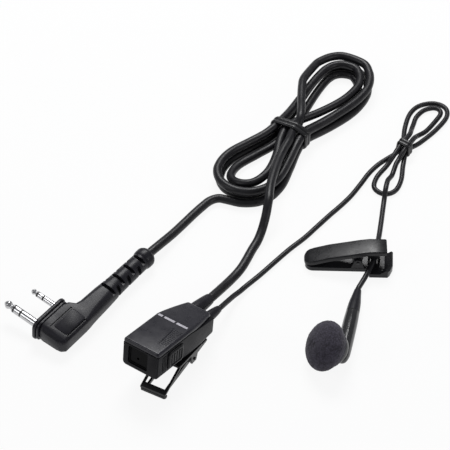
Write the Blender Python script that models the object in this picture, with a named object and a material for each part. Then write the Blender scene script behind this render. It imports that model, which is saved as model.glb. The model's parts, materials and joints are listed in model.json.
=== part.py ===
"""Tie-clip microphone and earphone set for a two-way radio, lying on a table.

A microphone box with a push-to-talk button and a crocodile clip, a right-angle plug with two
jack pins, a foam covered earphone, a cord clip, and two cords, each folded into a tied hank.
Metres, +Z up. Layout points are in millimetres round ORIGIN, which is where the part's own
origin lies between the microphone and the earphone.
"""

import math

import bmesh
import bpy
import numpy as np
from mathutils import Matrix, Vector

MM = 0.001
GAP = 0.3 * MM  # between pieces that touch
FIT = 0.1 * MM  # radial clearance of pins, screws and jack contacts
ORIGIN = (8.3, -68.9)  # layout millimetres

# Microphone case
MIC_WIDTH = 17.0 * MM
MIC_LENGTH = 38.0 * MM
MIC_HEIGHT = 12.6 * MM
MIC_REAR_HEIGHT = 9.9 * MM
MIC_REAR_WIDTH = 14.8 * MM
LID_REAR_WIDTH = 11.4 * MM
BEND_LENGTH = 21.0 * MM  # flat part of the lid, from the front
LID_THICKNESS = 1.8 * MM
WALL = 1.2 * MM
FLOOR = 1.4 * MM
CASE_ROUND = 1.6 * MM
LID_ROUND = 1.1 * MM
EDGE = 0.5 * MM
LEAST_ROUND = 0.1 * MM

# Front panel and capsule
PANEL_WIDTH = 9.0 * MM
PANEL_HEIGHT = 8.0 * MM
PANEL_ACROSS = -1.2 * MM
PANEL_RAISE = 2.0 * MM
PANEL_RECESS = 0.45 * MM
PANEL_ROUND = 0.8 * MM
SOUND_HOLE = 1.1 * MM
CAPSULE_DIAMETER = 6.0 * MM
CAPSULE_LENGTH = 2.7 * MM
BOOT_WALL = 0.7 * MM

# Push-to-talk button, switch and board
BUTTON_LENGTH = 9.4 * MM
BUTTON_HEIGHT = 7.6 * MM
BUTTON_START = 6.2 * MM
BUTTON_RAISE = 2.0 * MM
BUTTON_PROUD = 0.9 * MM
BUTTON_TRAVEL = 0.6 * MM
BUTTON_LIP = 0.8 * MM
LIP_THICKNESS = 0.65 * MM
LIP_RISE = 0.3 * MM
BOARD_LENGTH = 14.0 * MM
BOARD_WIDTH = 11.0 * MM
BOARD_THICKNESS = 1.0 * MM
BOARD_START = 6.4 * MM
SWITCH_SIZE = (2.8 * MM, 4.4 * MM, 4.2 * MM)
PLUNGER = 0.7 * MM

# Case screws
SCREW_SHANK = 1.5 * MM
SCREW_HEAD = 2.8 * MM
SCREW_HEAD_HEIGHT = 0.7 * MM
SCREW_LENGTH = 5.2 * MM
SCREW_BOSS = 3.3 * MM
SCREWS = {"case_screw_front": (5.2 * MM, 3.4 * MM), "case_screw_rear": (0.0, 32.0 * MM)}

# Bend reliefs on the microphone
MAIN_BOOT_ACROSS = -3.4 * MM
MAIN_BOOT_DIAMETER = 6.0 * MM
MAIN_BOOT_LENGTH = 12.0 * MM
THIN_BOOT_ACROSS = 3.4 * MM
THIN_BOOT_DIAMETER = 4.4 * MM
THIN_BOOT_LENGTH = 9.0 * MM
BOOT_HEIGHT = 5.4 * MM
BOOT_FLANGE = 0.7 * MM
BOOT_NECK = 0.6 * MM

# Microphone clip
CLIP_WIDTH = 11.2 * MM
CLIP_PLACE = (2.9 * MM, 24.0 * MM)
CLIP_TURN = 7.0  # degrees, tip towards the button side
STEEL = 0.9 * MM
BASE_FRONT = 12.0 * MM
BASE_REAR = 7.0 * MM
PIN_DROP = 3.9 * MM  # hinge pin below the case
PIN_DIAMETER = 1.2 * MM
EAR_FOOT = 3.0 * MM  # half a hinge ear's length at the plate, and at the pin
EAR_HEAD = 1.7 * MM
JAW_REACH = 22.6 * MM
JAW_DROP = 9.2 * MM
JAW_MOUTH = 0.35 * MM
TIP_DEPTH = 1.9 * MM
RAIL = 1.0 * MM
LEVER_REACH = 12.2 * MM
LEVER_DROP = 2.6 * MM
CLIP_OPEN = 8.0  # degrees
RIVET_SHANK = 2.2 * MM
RIVET_HEAD = 4.2 * MM
RIVET_HEAD_HEIGHT = 0.7 * MM
SPRING_WIRE = 0.5 * MM
SPRING_TURNS = 4
SPRING_PITCH = 0.96 * MM

# Plug
PIN_SPACING = 11.7 * MM
LARGE_PIN = {"diameter": 3.5 * MM, "sleeve": 8.7 * MM, "ring": 12.2 * MM, "length": 17.9 * MM}
SMALL_PIN = {"diameter": 2.5 * MM, "sleeve": 7.1 * MM, "ring": 10.1 * MM, "length": 13.9 * MM}
INSULATOR = 0.7 * MM
CORE_SHARE = 0.5
FLANGE_LENGTH = 19.0 * MM
FLANGE_HEIGHT = 11.0 * MM
FLANGE_DEPTH = 1.45 * MM
FLANGE_ROUND = 3.2 * MM
HEAD_LENGTH = 18.8 * MM
HEAD_DEPTH = 15.4 * MM
HEAD_FRONT_HEIGHT = 9.8 * MM
HEAD_REAR_HEIGHT = 7.6 * MM
NECK_LENGTH = 20.4 * MM
RELIEF_LENGTH = 22.2 * MM
RELIEF_DIAMETER = 8.5 * MM
RELIEF_ACROSS = -10.0 * MM
COLLAR_LENGTH = 5.4 * MM
SLOT_WIDTH = 1.5 * MM
SLOT_DEPTH = 1.7 * MM
SLOT_STEP = 3.4 * MM

# Cords
MAIN_CORD = 3.9 * MM
THIN_CORD = 2.25 * MM
LOOP_POINTS = 24
WAIST_REACH = 9.0  # layout millimetres along a hank that its tie lifts
THIN_WAIST_REACH = 5.0
LIFT_OFF = 0.05  # layout millimetres between the table and a winding
TIE_THICKNESS = 0.8 * MM
TIE_ROUND = 1.0 * MM
TIE_LOW = 0.1 * MM
MAIN_TIE = {"width": 4.4 * MM, "left": 10.3 * MM, "right": 10.0 * MM, "height": 12.7 * MM}
THIN_TIE = {"width": 4.0 * MM, "left": 4.1 * MM, "right": 4.1 * MM, "height": 7.8 * MM}

# Main hank, in its own frame. The outline of a loop, anticlockwise from its top, as along and across,
# and its winding: how many times round, how far outside the outline, and the layer.
MAIN_HANK = {
    "waist": (29.6, 53.4),
    "heading": 56.0,
    "layer": 4.46,
    "lift": 1.2,
    "ease": 0.04,
    "outline": [
        (51.2, 0.6), (48.4, 5.0), (42.4, 6.2), (33.0, 5.6), (20.0, 3.6), (8.0, 1.8), (0.0, 1.3), (-8.0, 2.4),
        (-18.0, 5.8), (-28.0, 8.8), (-34.9, 8.2), (-38.4, 5.6), (-39.4, 1.6), (-38.2, -2.4), (-34.9, -5.0),
        (-28.0, -6.0), (-18.0, -3.9), (-8.0, -0.6), (0.0, 0.9), (8.0, 0.0), (20.0, -3.2), (33.0, -5.8),
        (42.8, -5.8), (48.2, -3.4),
    ],
    "winding": [
        (0.515, 9.6, 0.0), (0.57, 7.2, 0.0), (0.622, 6.2, 0.0), (0.714, 7.4, 0.0), (0.817, 8.1, 0.0),
        (0.883, 9.0, 0.0), (0.933, 8.2, 0.0), (1.0, 6.8, 0.0), (1.057, 5.9, 0.0), (1.17, 5.5, 0.0),
        (1.271, 5.45, 0.0), (1.365, 5.6, 0.0), (1.453, 5.5, 0.0), (1.5, 5.0, 0.0), (1.57, 2.9, 0.0),
        (1.622, 1.7, 0.0), (1.714, 2.9, 0.0), (1.817, 3.4, 0.0), (1.883, 4.3, 0.0), (1.933, 3.6, 0.0),
        (2.0, 2.2, 0.0), (2.057, 1.3, 0.0), (2.17, 1.0, 0.0), (2.271, 1.0, 0.0), (2.365, 1.0, 0.0),
        (2.43, 0.7, 0.0), (2.47, 0.4, 0.25), (2.53, 0.2, 0.95), (2.57, 0.1, 1.0), (2.622, 0.0, 1.0),
        (2.66, -0.5, 1.0), (2.714, -1.6, 1.0), (2.765, -0.4, 1.0), (2.817, 1.3, 1.0), (2.883, 3.0, 1.0),
        (2.933, 3.4, 1.0), (3.0, 3.9, 1.0), (3.057, 3.5, 1.0), (3.17, 4.6, 1.0), (3.271, 5.7, 1.0),
        (3.365, 5.6, 1.0), (3.453, 6.2, 1.0), (3.5, 6.8, 1.0), (3.57, 6.0, 1.0), (3.622, 5.7, 1.0),
        (3.66, 6.4, 1.0), (3.714, 7.7, 1.0), (3.817, 7.6, 1.0), (3.883, 7.7, 1.0), (3.933, 8.2, 1.0),
        (4.0, 8.4, 1.2), (4.057, 7.8, 1.6),
    ],
}
# Thin hank, in its own frame: its route as along, across and layer
THIN_HANK = {
    "waist": (80.4, 45.4),
    "heading": 58.0,
    "layer": 3.2,
    "lift": 1.2,
    "route": [
        (-5.4, 2.7, 0.1), (0.0, 1.5, 0.0), (7.0, 3.9, 0.0), (15.0, 7.2, 0.0), (24.0, 9.5, 0.0),
        (31.0, 8.8, 0.0), (36.0, 4.9, 0.0), (37.5, 0.4, 0.0), (35.8, -3.6, 0.0), (30.4, -5.9, 0.0),
        (20.0, -5.5, 0.0), (9.0, -3.4, 0.0), (0.0, -1.5, 0.0), (-8.0, -3.8, 0.0), (-17.0, -7.5, 0.0),
        (-24.0, -8.6, 0.0), (-28.2, -6.6, 0.0), (-29.2, -3.2, 0.0), (-27.2, 0.6, 0.0), (-21.0, 2.4, 0.0),
        (-13.0, 1.9, 0.2), (-8.5, 1.4, 0.8), (-4.0, 1.4, 1.0), (0.0, 1.5, 1.0), (4.0, 1.5, 1.0),
        (9.0, 1.9, 0.9), (14.0, 3.5, 0.3), (19.0, 4.9, 0.0), (24.0, 6.0, 0.0), (29.8, 5.3, 0.0),
        (33.6, 2.6, 0.0), (34.3, -0.2, 0.0), (32.2, -2.3, 0.0), (27.4, -2.7, 0.0), (18.0, -2.2, 0.0),
        (12.0, -0.6, 0.2), (8.0, -0.9, 0.8), (4.0, -1.4, 1.0), (0.0, -1.5, 1.0), (-4.0, -1.4, 1.0),
        (-8.0, -1.4, 0.65), (-11.0, -1.6, 0.5),
    ],
}

# Routes of the free cords, layout millimetres, chosen by hand
PLUG_ROUTE = [
    (-27.3, -13.2, 3.6), (-22.6, -7.2, 2.35), (-17.6, -0.8, 2.1), (-13.4, 4.6, 2.1), (-9.8, 9.2, 2.1),
    (-6.6, 12.7, 2.1), (-2.9, 14.3, 2.1), (0.9, 13.4, 2.1),
]
MIC_ROUTE = [
    (36.6, 85.5, 10.7), (35.5, 79.6, 11.1), (35.0, 73.3, 11.1), (34.7, 67.4, 11.2), (34.5, 62.1, 11.5),
    (34.0, 57.7, 11.3), (33.1, 54.7, 9.7), (31.6, 52.1, 8.7), (30.0, 49.5, 9.0), (28.5, 43.5, 9.8),
    (26.1, 37.7, 10.0), (24.2, 32.4, 10.1), (22.6, 26.8, 10.5), (21.3, 21.3, 10.9), (20.1, 16.0, 11.1),
    (19.3, 10.8, 11.2), (18.8, 5.5, 10.9), (18.3, 2.6, 8.6), (17.8, 1.1, 5.0), (16.9, -2.0, 2.6),
    (15.6, -7.5, 2.1), (11.4, -16.9, 2.1), (7.0, -27.2, 2.15), (2.2, -35.0, 2.65),
]
THIN_MIC_ROUTE = [
    (3.4, -44.6, 3.4), (6.0, -41.0, 2.3), (8.6, -37.4, 1.6), (14.8, -30.4, 1.3), (21.0, -23.0, 1.2),
    (27.4, -15.6, 1.2), (33.8, -9.0, 1.2), (39.6, -2.0, 1.2), (45.2, 4.8, 1.2), (50.4, 10.8, 1.2),
    (55.2, 17.0, 1.2), (59.8, 24.4, 1.2), (64.0, 31.4, 1.25), (68.8, 36.9, 1.65),
]
EAR_ROUTE = [
    (74.0, 30.0, 1.5), (72.6, 26.8, 2.5), (71.4, 23.6, 4.0), (70.6, 20.4, 4.5), (69.9, 17.2, 4.1),
    (69.2, 13.2, 2.2), (68.3, 8.0, 1.4), (67.2, 1.2, 1.4), (65.6, -8.0, 1.5), (64.4, -14.0, 2.6),
    (63.2, -19.0, 3.5), (62.3, -23.4, 3.6), (61.0, -27.2, 3.6), (59.6, -30.4, 3.5), (57.7, -34.0, 2.8),
]

# Where the microphone and the plug lie, layout millimetres and degrees
MIC_PLACE = (-32.9, -91.3, 11.4)
MIC_HEADING = -36.3
MIC_PITCH = -11.5
MIC_ROLL = -3.0
PLUG_PLACE = (-74.4, -62.5, 5.75)
PLUG_HEADING = 143.5
PLUG_ROLL = -6.5

# Cord clip
CORD_CLIP_PLACE = (33.0, -22.6)
CORD_CLIP_TURN = -1.8
CORD_CLIP_WIDTH = 8.6 * MM
CORD_CLIP_LENGTH = 34.2 * MM
CORD_CLIP_BASE = 2.0 * MM
CORD_CLIP_PIVOT = 22.4 * MM
CORD_CLIP_PIN_HEIGHT = 4.9 * MM
CORD_CLIP_PIN = 1.4 * MM
CORD_CLIP_PLATE = 2.0 * MM
CORD_CLIP_TIP_HEIGHT = 4.3 * MM
CORD_CLIP_BEND = (21.0 * MM, 10.1 * MM)
CORD_CLIP_END_HEIGHT = 11.5 * MM
CORD_CLIP_EAR = 0.9 * MM
CORD_CLIP_ROUND = 3.2 * MM
CORD_CLIP_OPEN = 14.0  # degrees
HANDLE_START = 27.2 * MM
HANDLE_END = 37.4 * MM
HANDLE_NARROW = 1.8 * MM  # how much shorter it is at its front edge
HANDLE_FRONT = 7.5 * MM
HANDLE_RISE = 3.9 * MM
HANDLE_TAPER = 4.0 * MM
CORD_LOOP_PLACE = 29.3 * MM
CORD_LOOP_LENGTH = 2.4 * MM
CORD_LOOP_WALL = 0.8 * MM
CORD_SPRING_WIRE = 0.6 * MM

# Earphone
EARPHONE_PLACE = (39.3, -76.5, 9.45)
FACE = (-0.862, -0.101, 0.497)  # the way the foam faces
STEM_END = (54.6, -40.6, 2.6)
FOAM_DIAMETER = 20.3 * MM
FOAM_FRONT = 6.6 * MM
FOAM_BACK = 5.2 * MM
FOAM_MOUTH = 13.2 * MM
SHELL_DIAMETER = 15.6 * MM
SHELL_DEPTH = 2.9 * MM
SHELL_LIP = 1.5 * MM
SHELL_WALL = 1.1 * MM
SHELL_NECK = 12.2 * MM
MAGNET_WELL = 1.4 * MM
SHELL_BACK = 8.8 * MM
STEM_DIAMETER = 6.0 * MM
STEM_DROP = 8.6 * MM
STEM_OVER = 6.0 * MM
STEM_SHARE = 0.62  # of the way from the shell to the cord
EAR_BOOT_TIP = 2.9 * MM
GRILLE_THICKNESS = 0.6 * MM
DRIVER_DIAMETER = 12.6 * MM
DRIVER_DEPTH = 3.0 * MM

ROUND = 20  # sides of a round piece
SMALL_ROUND = 14


# ---------------------------------------------------------------- frames
def layout(x, y, z=0.0):
    """A layout point in metres, in the part's own frame."""
    return Vector(((x - ORIGIN[0]) * MM, (y - ORIGIN[1]) * MM, z * MM))


def placed(location, *turns):
    """Matrix at a location, with (degrees, axis) turns applied left to right."""
    matrix = Matrix.Translation(location)
    for degrees, axis in turns:
        matrix = matrix @ Matrix.Rotation(math.radians(degrees), 4, axis)
    return matrix


def aimed(location, forward, up):
    """Matrix whose Z runs along forward, with up as near Y as it can be."""
    z = Vector(forward).normalized()
    x = Vector(up).cross(z).normalized()
    y = z.cross(x)
    matrix = Matrix((x, y, z)).transposed().to_4x4()
    matrix.translation = location
    return matrix


MIC = placed(layout(*MIC_PLACE), (MIC_HEADING, "Z"), (MIC_PITCH, "X"), (MIC_ROLL, "Y"))
PLUG = placed(layout(*PLUG_PLACE), (PLUG_HEADING, "Z"), (PLUG_ROLL, "Y"))
CLIP = MIC @ placed((CLIP_PLACE[0], CLIP_PLACE[1], 0.0), (CLIP_TURN, "Z"))
CORD_CLIP = placed(layout(*CORD_CLIP_PLACE), (CORD_CLIP_TURN, "Z"))
ALONG_Y = Matrix.Rotation(math.radians(-90.0), 4, "X")  # local Z of a turned piece along +Y
ALONG_X = Matrix.Rotation(math.radians(90.0), 4, "Y")  # local Z of a turned piece along +X


# ---------------------------------------------------------------- materials and objects
def clear_scene():
    for obj in list(bpy.data.objects):
        bpy.data.objects.remove(obj, do_unlink=True)


def material(name, colour, roughness, metallic=0.0):
    made = bpy.data.materials.new(name)
    made.use_nodes = True
    shader = made.node_tree.nodes["Principled BSDF"]
    shader.inputs["Base Color"].default_value = (*colour, 1.0)
    shader.inputs["Roughness"].default_value = roughness
    shader.inputs["Metallic"].default_value = metallic
    made.diffuse_color = (*colour, 1.0)
    return made


def make_materials():
    return {
        "case": material("case_plastic", (0.020, 0.020, 0.023), 0.38),
        "button": material("button_rubber", (0.026, 0.026, 0.028), 0.55),
        "steel": material("blackened_steel", (0.016, 0.016, 0.017), 0.32, 0.6),
        "spring": material("spring_steel", (0.45, 0.45, 0.46), 0.3, 1.0),
        "contact": material("plated_contact", (0.80, 0.79, 0.76), 0.18, 1.0),
        "moulded": material("plug_moulding", (0.024, 0.024, 0.027), 0.45),
        "jacket": material("cord_jacket", (0.016, 0.016, 0.018), 0.5),
        "foam": material("foam", (0.034, 0.032, 0.040), 0.95),
        "board": material("board", (0.03, 0.16, 0.07), 0.5),
        "capsule": material("capsule", (0.55, 0.56, 0.57), 0.35, 0.9),
    }


def add(name, shape, finish, place, smooth=35.0):
    """A named object from a bmesh in local coordinates."""
    mesh = bpy.data.meshes.new(name)
    bmesh.ops.recalc_face_normals(shape, faces=shape.faces[:])
    if shape.calc_volume(signed=True) < 0.0:
        bmesh.ops.reverse_faces(shape, faces=shape.faces[:])
    shape.to_mesh(mesh)
    shape.free()
    mesh.materials.append(finish)
    mesh.shade_smooth()
    mesh.set_sharp_from_angle(angle=math.radians(smooth))
    obj = bpy.data.objects.new(name, mesh)
    obj.matrix_world = place
    bpy.context.scene.collection.objects.link(obj)
    return obj


def combine(obj, shape, operation="DIFFERENCE", place=None):
    """Cuts a shape out of an object, or joins it on, with a Boolean."""
    helper = add(f"{obj.name}_{operation.lower()}_{len(obj.modifiers)}", shape, obj.data.materials[0],
                 obj.matrix_world if place is None else place)
    helper.hide_render = True
    helper.display_type = "WIRE"
    modifier = obj.modifiers.new(helper.name, "BOOLEAN")
    modifier.operation = operation
    modifier.object = helper
    modifier.solver = "EXACT"
    return helper


def parented(obj, pivot_name, pivot):
    """Puts a moving piece under an empty on its joint's axis."""
    empty = bpy.data.objects.get(pivot_name)
    if empty is None:
        empty = bpy.data.objects.new(pivot_name, None)
        empty.matrix_world = pivot
        bpy.context.scene.collection.objects.link(empty)
    world = obj.matrix_world.copy()
    obj.parent = empty
    obj.matrix_parent_inverse = pivot.inverted()
    obj.matrix_world = world
    return obj


# ---------------------------------------------------------------- shapes
def bridge(shape, rows, wrap):
    pairs = list(zip(rows, rows[1:]))
    if wrap:
        pairs.append((rows[-1], rows[0]))
    for low, high in pairs:
        for i in range(len(low)):
            j = (i + 1) % len(low)
            shape.faces.new((low[i], low[j], high[j], high[i]))


def loft(rings, closed=False):
    """Rings of as many points each, bridged, with a flat face at each end unless closed."""
    shape = bmesh.new()
    rows = [[shape.verts.new(point) for point in ring] for ring in rings]
    bridge(shape, rows, closed)
    if not closed:
        shape.faces.new(list(reversed(rows[0])))
        shape.faces.new(rows[-1])
    return shape


def prism(points, low, high, axis="Z"):
    """An outline pushed along an axis. X takes (y, z) points, Y takes (x, z), Z takes (x, y)."""
    spots = {
        "X": lambda a, b, c: (c, a, b),
        "Y": lambda a, b, c: (a, c, b),
        "Z": lambda a, b, c: (a, b, c),
    }
    return loft([[spots[axis](a, b, c) for a, b in points] for c in (low, high)])


def box(low, high):
    corners = [(low[0], low[1]), (high[0], low[1]), (high[0], high[1]), (low[0], high[1])]
    return prism(corners, low[2], high[2])


def rounded(left, right, low, high, radii, steps=2):
    """Rounded rectangle, anticlockwise from its lower left corner, with a radius for each corner."""
    centres = [(left, low, 1, 1, 180.0), (right, low, -1, 1, 270.0), (right, high, -1, -1, 0.0),
               (left, high, 1, -1, 90.0)]
    points = []
    for (x, y, to_x, to_y, start), radius in zip(centres, radii):
        for i in range(steps + 1):
            angle = math.radians(start + 90.0 * i / steps)
            points.append(
                (
                    x + to_x * radius + radius * math.cos(angle),
                    y + to_y * radius + radius * math.sin(angle),
                )
            )
    return points


def turned(profile, sides=ROUND, ring=False):
    """A profile of (radius, height) points turned round Z. A ring's profile closes on itself."""
    shape = bmesh.new()
    rows = []
    for radius, height in profile:
        if radius <= 0.0:
            rows.append([shape.verts.new((0.0, 0.0, height))])
            continue
        rows.append(
            [
                shape.verts.new(
                    (
                        radius * math.cos(2.0 * math.pi * i / sides),
                        radius * math.sin(2.0 * math.pi * i / sides),
                        height,
                    )
                )
                for i in range(sides)
            ]
        )
    pairs = list(zip(rows, rows[1:]))
    if ring:
        pairs.append((rows[-1], rows[0]))
    for low, high in pairs:
        for i in range(sides):
            j = (i + 1) % sides
            if len(low) == 1:
                shape.faces.new((low[0], high[j], high[i]))
            elif len(high) == 1:
                shape.faces.new((low[i], low[j], high[0]))
            else:
                shape.faces.new((low[i], low[j], high[j], high[i]))
    if not ring and len(rows[0]) > 1:
        shape.faces.new(list(reversed(rows[0])))
    if not ring and len(rows[-1]) > 1:
        shape.faces.new(rows[-1])
    return shape


def rod(radius, low, high, sides=SMALL_ROUND):
    return turned([(radius, low), (radius, high)], sides)


def smooth_points(points, step, closed=False):
    """Points at an even step along a smooth curve through the given ones."""
    spots = [np.array(point, float) for point in points]
    count = len(spots)
    dense = []
    for i in range(count if closed else count - 1):
        p0 = spots[(i - 1) % count] if closed or i > 0 else 2.0 * spots[0] - spots[1]
        p1 = spots[i]
        p2 = spots[(i + 1) % count]
        p3 = spots[(i + 2) % count] if closed or i + 2 < count else 2.0 * spots[-1] - spots[-2]
        for t in np.linspace(0.0, 1.0, 16, endpoint=False):
            dense.append(
                0.5 * (2.0 * p1 + (p2 - p0) * t + (2.0 * p0 - 5.0 * p1 + 4.0 * p2 - p3) * t**2
                       + (3.0 * p1 - p0 - 3.0 * p2 + p3) * t**3)
            )
    dense.append(spots[0] if closed else spots[-1])
    dense = np.array(dense)
    run = np.concatenate([[0.0], np.cumsum(np.linalg.norm(np.diff(dense, axis=0), axis=1))])
    number = max(2, round(run[-1] / step))
    marks = np.linspace(0.0, run[-1], number + 1)
    return np.stack([np.interp(marks, run, dense[:, k]) for k in range(dense.shape[1])], axis=1)


def tube(name, points, diameter, finish, resolution):
    """A cord or wire along a list of points, as one curve with filled ends."""
    curve = bpy.data.curves.new(name, "CURVE")
    curve.dimensions = "3D"
    curve.bevel_depth = diameter / 2.0
    curve.bevel_resolution = resolution
    curve.use_fill_caps = True
    curve.twist_mode = "MINIMUM"
    spline = curve.splines.new("POLY")
    spline.points.add(len(points) - 1)
    for spot, point in zip(spline.points, points):
        spot.co = (*point, 1.0)
    spline.use_smooth = True
    curve.materials.append(finish)
    obj = bpy.data.objects.new(name, curve)
    bpy.context.scene.collection.objects.link(obj)
    return obj


# ---------------------------------------------------------------- microphone case
def lid_top(y):
    """Height of the lid's upper face, which bends down behind BEND_LENGTH."""
    share = max(0.0, (y - BEND_LENGTH) / (MIC_LENGTH - BEND_LENGTH))
    return MIC_HEIGHT + (MIC_REAR_HEIGHT - MIC_HEIGHT) * share


def half_width(y, rear_width):
    share = max(0.0, (y - BEND_LENGTH) / (MIC_LENGTH - BEND_LENGTH))
    return (MIC_WIDTH + (rear_width - MIC_WIDTH) * share**1.5) / 2.0


def case_section(y, inset, rear_width, low, high, radii):
    half = half_width(y, rear_width) - inset
    return [(a, y, b) for a, b in rounded(-half, half, low, high, radii)]


CASE_STATIONS = [(0.0, EDGE), (EDGE, 0.0), (BEND_LENGTH, 0.0), (0.5 * (BEND_LENGTH + MIC_LENGTH), 0.0),
                 (MIC_LENGTH - EDGE, 0.0), (MIC_LENGTH, EDGE)]


def make_top_cover(finish):
    rings = []
    for y, inset in CASE_STATIONS:
        top = lid_top(y) - inset
        low = lid_top(y) - LID_THICKNESS
        radii = (LEAST_ROUND, LEAST_ROUND, LID_ROUND, LID_ROUND)
        rings.append(case_section(y, inset, LID_REAR_WIDTH, low, top, radii))
    cover = add("top_cover", loft(rings), finish, MIC)
    for x, y in SCREWS.values():
        top = lid_top(y) - LID_THICKNESS / 2.0
        place = MIC @ placed((x, y, 0.0))
        boss = turned([(SCREW_BOSS / 2.0, FLOOR + GAP), (SCREW_BOSS / 2.0, top)], SMALL_ROUND)
        combine(cover, boss, "UNION", place)
        bore = rod(SCREW_SHANK / 2.0 + FIT, -MM, SCREW_LENGTH + SCREW_HEAD_HEIGHT + GAP)
        combine(cover, bore, "DIFFERENCE", place)
    for across, diameter in ((MAIN_BOOT_ACROSS, MAIN_BOOT_DIAMETER), (THIN_BOOT_ACROSS, THIN_BOOT_DIAMETER)):
        cut_boot_way(cover, across, diameter)
    return cover


def boot_neck(diameter):
    """Radius of the groove in which the case wall holds a boot."""
    return diameter / 2.0 - BOOT_NECK


def cut_boot_way(obj, across, diameter):
    """The wall hole round a boot's groove, and room for its inner flange."""
    inner = MIC_LENGTH - WALL - 2.0 * GAP - BOOT_FLANGE
    way = turned(
        [
            (diameter / 2.0 + GAP, inner - GAP),
            (diameter / 2.0 + GAP, MIC_LENGTH - WALL),
            (boot_neck(diameter) + GAP, MIC_LENGTH - WALL),
            (boot_neck(diameter) + GAP, MIC_LENGTH + MM),
        ],
        ROUND,
    )
    combine(obj, way, "DIFFERENCE", MIC @ placed((across, 0.0, BOOT_HEIGHT)) @ ALONG_Y)


def make_lower_shell(finish):
    rings = []
    for y, inset in CASE_STATIONS:
        top = lid_top(y) - LID_THICKNESS - GAP
        radii = (CASE_ROUND, CASE_ROUND, LEAST_ROUND, LEAST_ROUND)
        rings.append(case_section(y, inset, MIC_REAR_WIDTH, inset, top, radii))
    shell = add("lower_shell", loft(rings), finish, MIC)
    hollow = []
    for y in (WALL, BEND_LENGTH, 0.5 * (BEND_LENGTH + MIC_LENGTH), MIC_LENGTH - WALL):
        half = half_width(y, LID_REAR_WIDTH) - WALL
        top = MIC_HEIGHT + MM
        hollow.append([(a, y, b) for a, b in rounded(-half, half, FLOOR, top, (0.5 * MM,) * 4, 1)])
    combine(shell, loft(hollow))
    left = PANEL_ACROSS - PANEL_WIDTH / 2.0 - GAP / 2.0
    right = PANEL_ACROSS + PANEL_WIDTH / 2.0 + GAP / 2.0
    low = PANEL_RAISE - GAP / 2.0
    high = PANEL_RAISE + PANEL_HEIGHT + GAP / 2.0
    window = rounded(left, right, low, high, (PANEL_ROUND,) * 4)
    combine(shell, prism(window, -MM, WALL + MM, "Y"))
    window = rounded(BUTTON_START - GAP / 2.0, BUTTON_START + BUTTON_LENGTH + GAP / 2.0,
                     BUTTON_RAISE - GAP / 2.0, BUTTON_RAISE + BUTTON_HEIGHT + GAP / 2.0, (1.4 * MM,) * 4)
    combine(shell, prism(window, MIC_WIDTH / 2.0 - WALL - MM, MIC_WIDTH / 2.0 + MM, "X"))
    for x, y in SCREWS.values():
        wide = SCREW_HEAD / 2.0 + FIT
        narrow = SCREW_SHANK / 2.0 + FIT
        step = SCREW_HEAD_HEIGHT + FIT
        way = turned([(wide, -MM), (wide, step), (narrow, step), (narrow, FLOOR + MM)], SMALL_ROUND)
        combine(shell, way, "DIFFERENCE", MIC @ placed((x, y, 0.0)))
    combine(shell, rod(RIVET_SHANK / 2.0 + FIT, -MM, FLOOR + MM), "DIFFERENCE", CLIP)
    for across, diameter in ((MAIN_BOOT_ACROSS, MAIN_BOOT_DIAMETER), (THIN_BOOT_ACROSS, THIN_BOOT_DIAMETER)):
        cut_boot_way(shell, across, diameter)
    return shell


def make_front_grille(finish):
    left = PANEL_ACROSS - PANEL_WIDTH / 2.0
    right = PANEL_ACROSS + PANEL_WIDTH / 2.0
    low = PANEL_RAISE
    high = PANEL_RAISE + PANEL_HEIGHT
    back = WALL + GAP
    lip = 0.8 * MM
    rings = []
    for y, grow_side, grow_low, grow_high in (
        (PANEL_RECESS, 0.0, 0.0, 0.0),
        (back, 0.0, 0.0, 0.0),
        (back, lip, LIP_RISE, LIP_RISE),
        (back + 0.6 * MM, lip, LIP_RISE, LIP_RISE),
    ):
        radii = (PANEL_ROUND - 0.1 * MM,) * 4
        outline = rounded(left - grow_side, right + grow_side, low - grow_low, high + grow_high, radii)
        rings.append([(a, y, b) for a, b in outline])
    panel = add("front_grille", loft(rings), finish, MIC)
    centre = low + PANEL_HEIGHT / 2.0
    combine(panel, rod(SOUND_HOLE / 2.0, 0.0, back + MM, 10), "DIFFERENCE",
            MIC @ placed((PANEL_ACROSS - 0.3 * MM, 0.0, centre - 0.8 * MM)) @ ALONG_Y)
    return panel


def capsule_frame():
    """Start of the capsule behind the front panel, with Z along the case."""
    height = FLOOR + GAP + BOOT_WALL + FIT + CAPSULE_DIAMETER / 2.0
    return MIC @ placed((PANEL_ACROSS, WALL + GAP + 0.6 * MM + GAP, height)) @ ALONG_Y


def make_capsule(finishes):
    place = capsule_frame()
    radius = CAPSULE_DIAMETER / 2.0
    edge = 0.3 * MM
    add("mic_capsule", turned([(radius - edge, 0.0), (radius, edge), (radius, CAPSULE_LENGTH),
                               (radius - edge, CAPSULE_LENGTH)]), finishes["capsule"], place)
    inner = radius + FIT
    outer = inner + BOOT_WALL
    profile = [(inner, 0.0), (outer, 0.0), (outer, CAPSULE_LENGTH), (inner, CAPSULE_LENGTH)]
    add("capsule_boot", turned(profile, ROUND, ring=True), finishes["button"], place)


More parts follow.
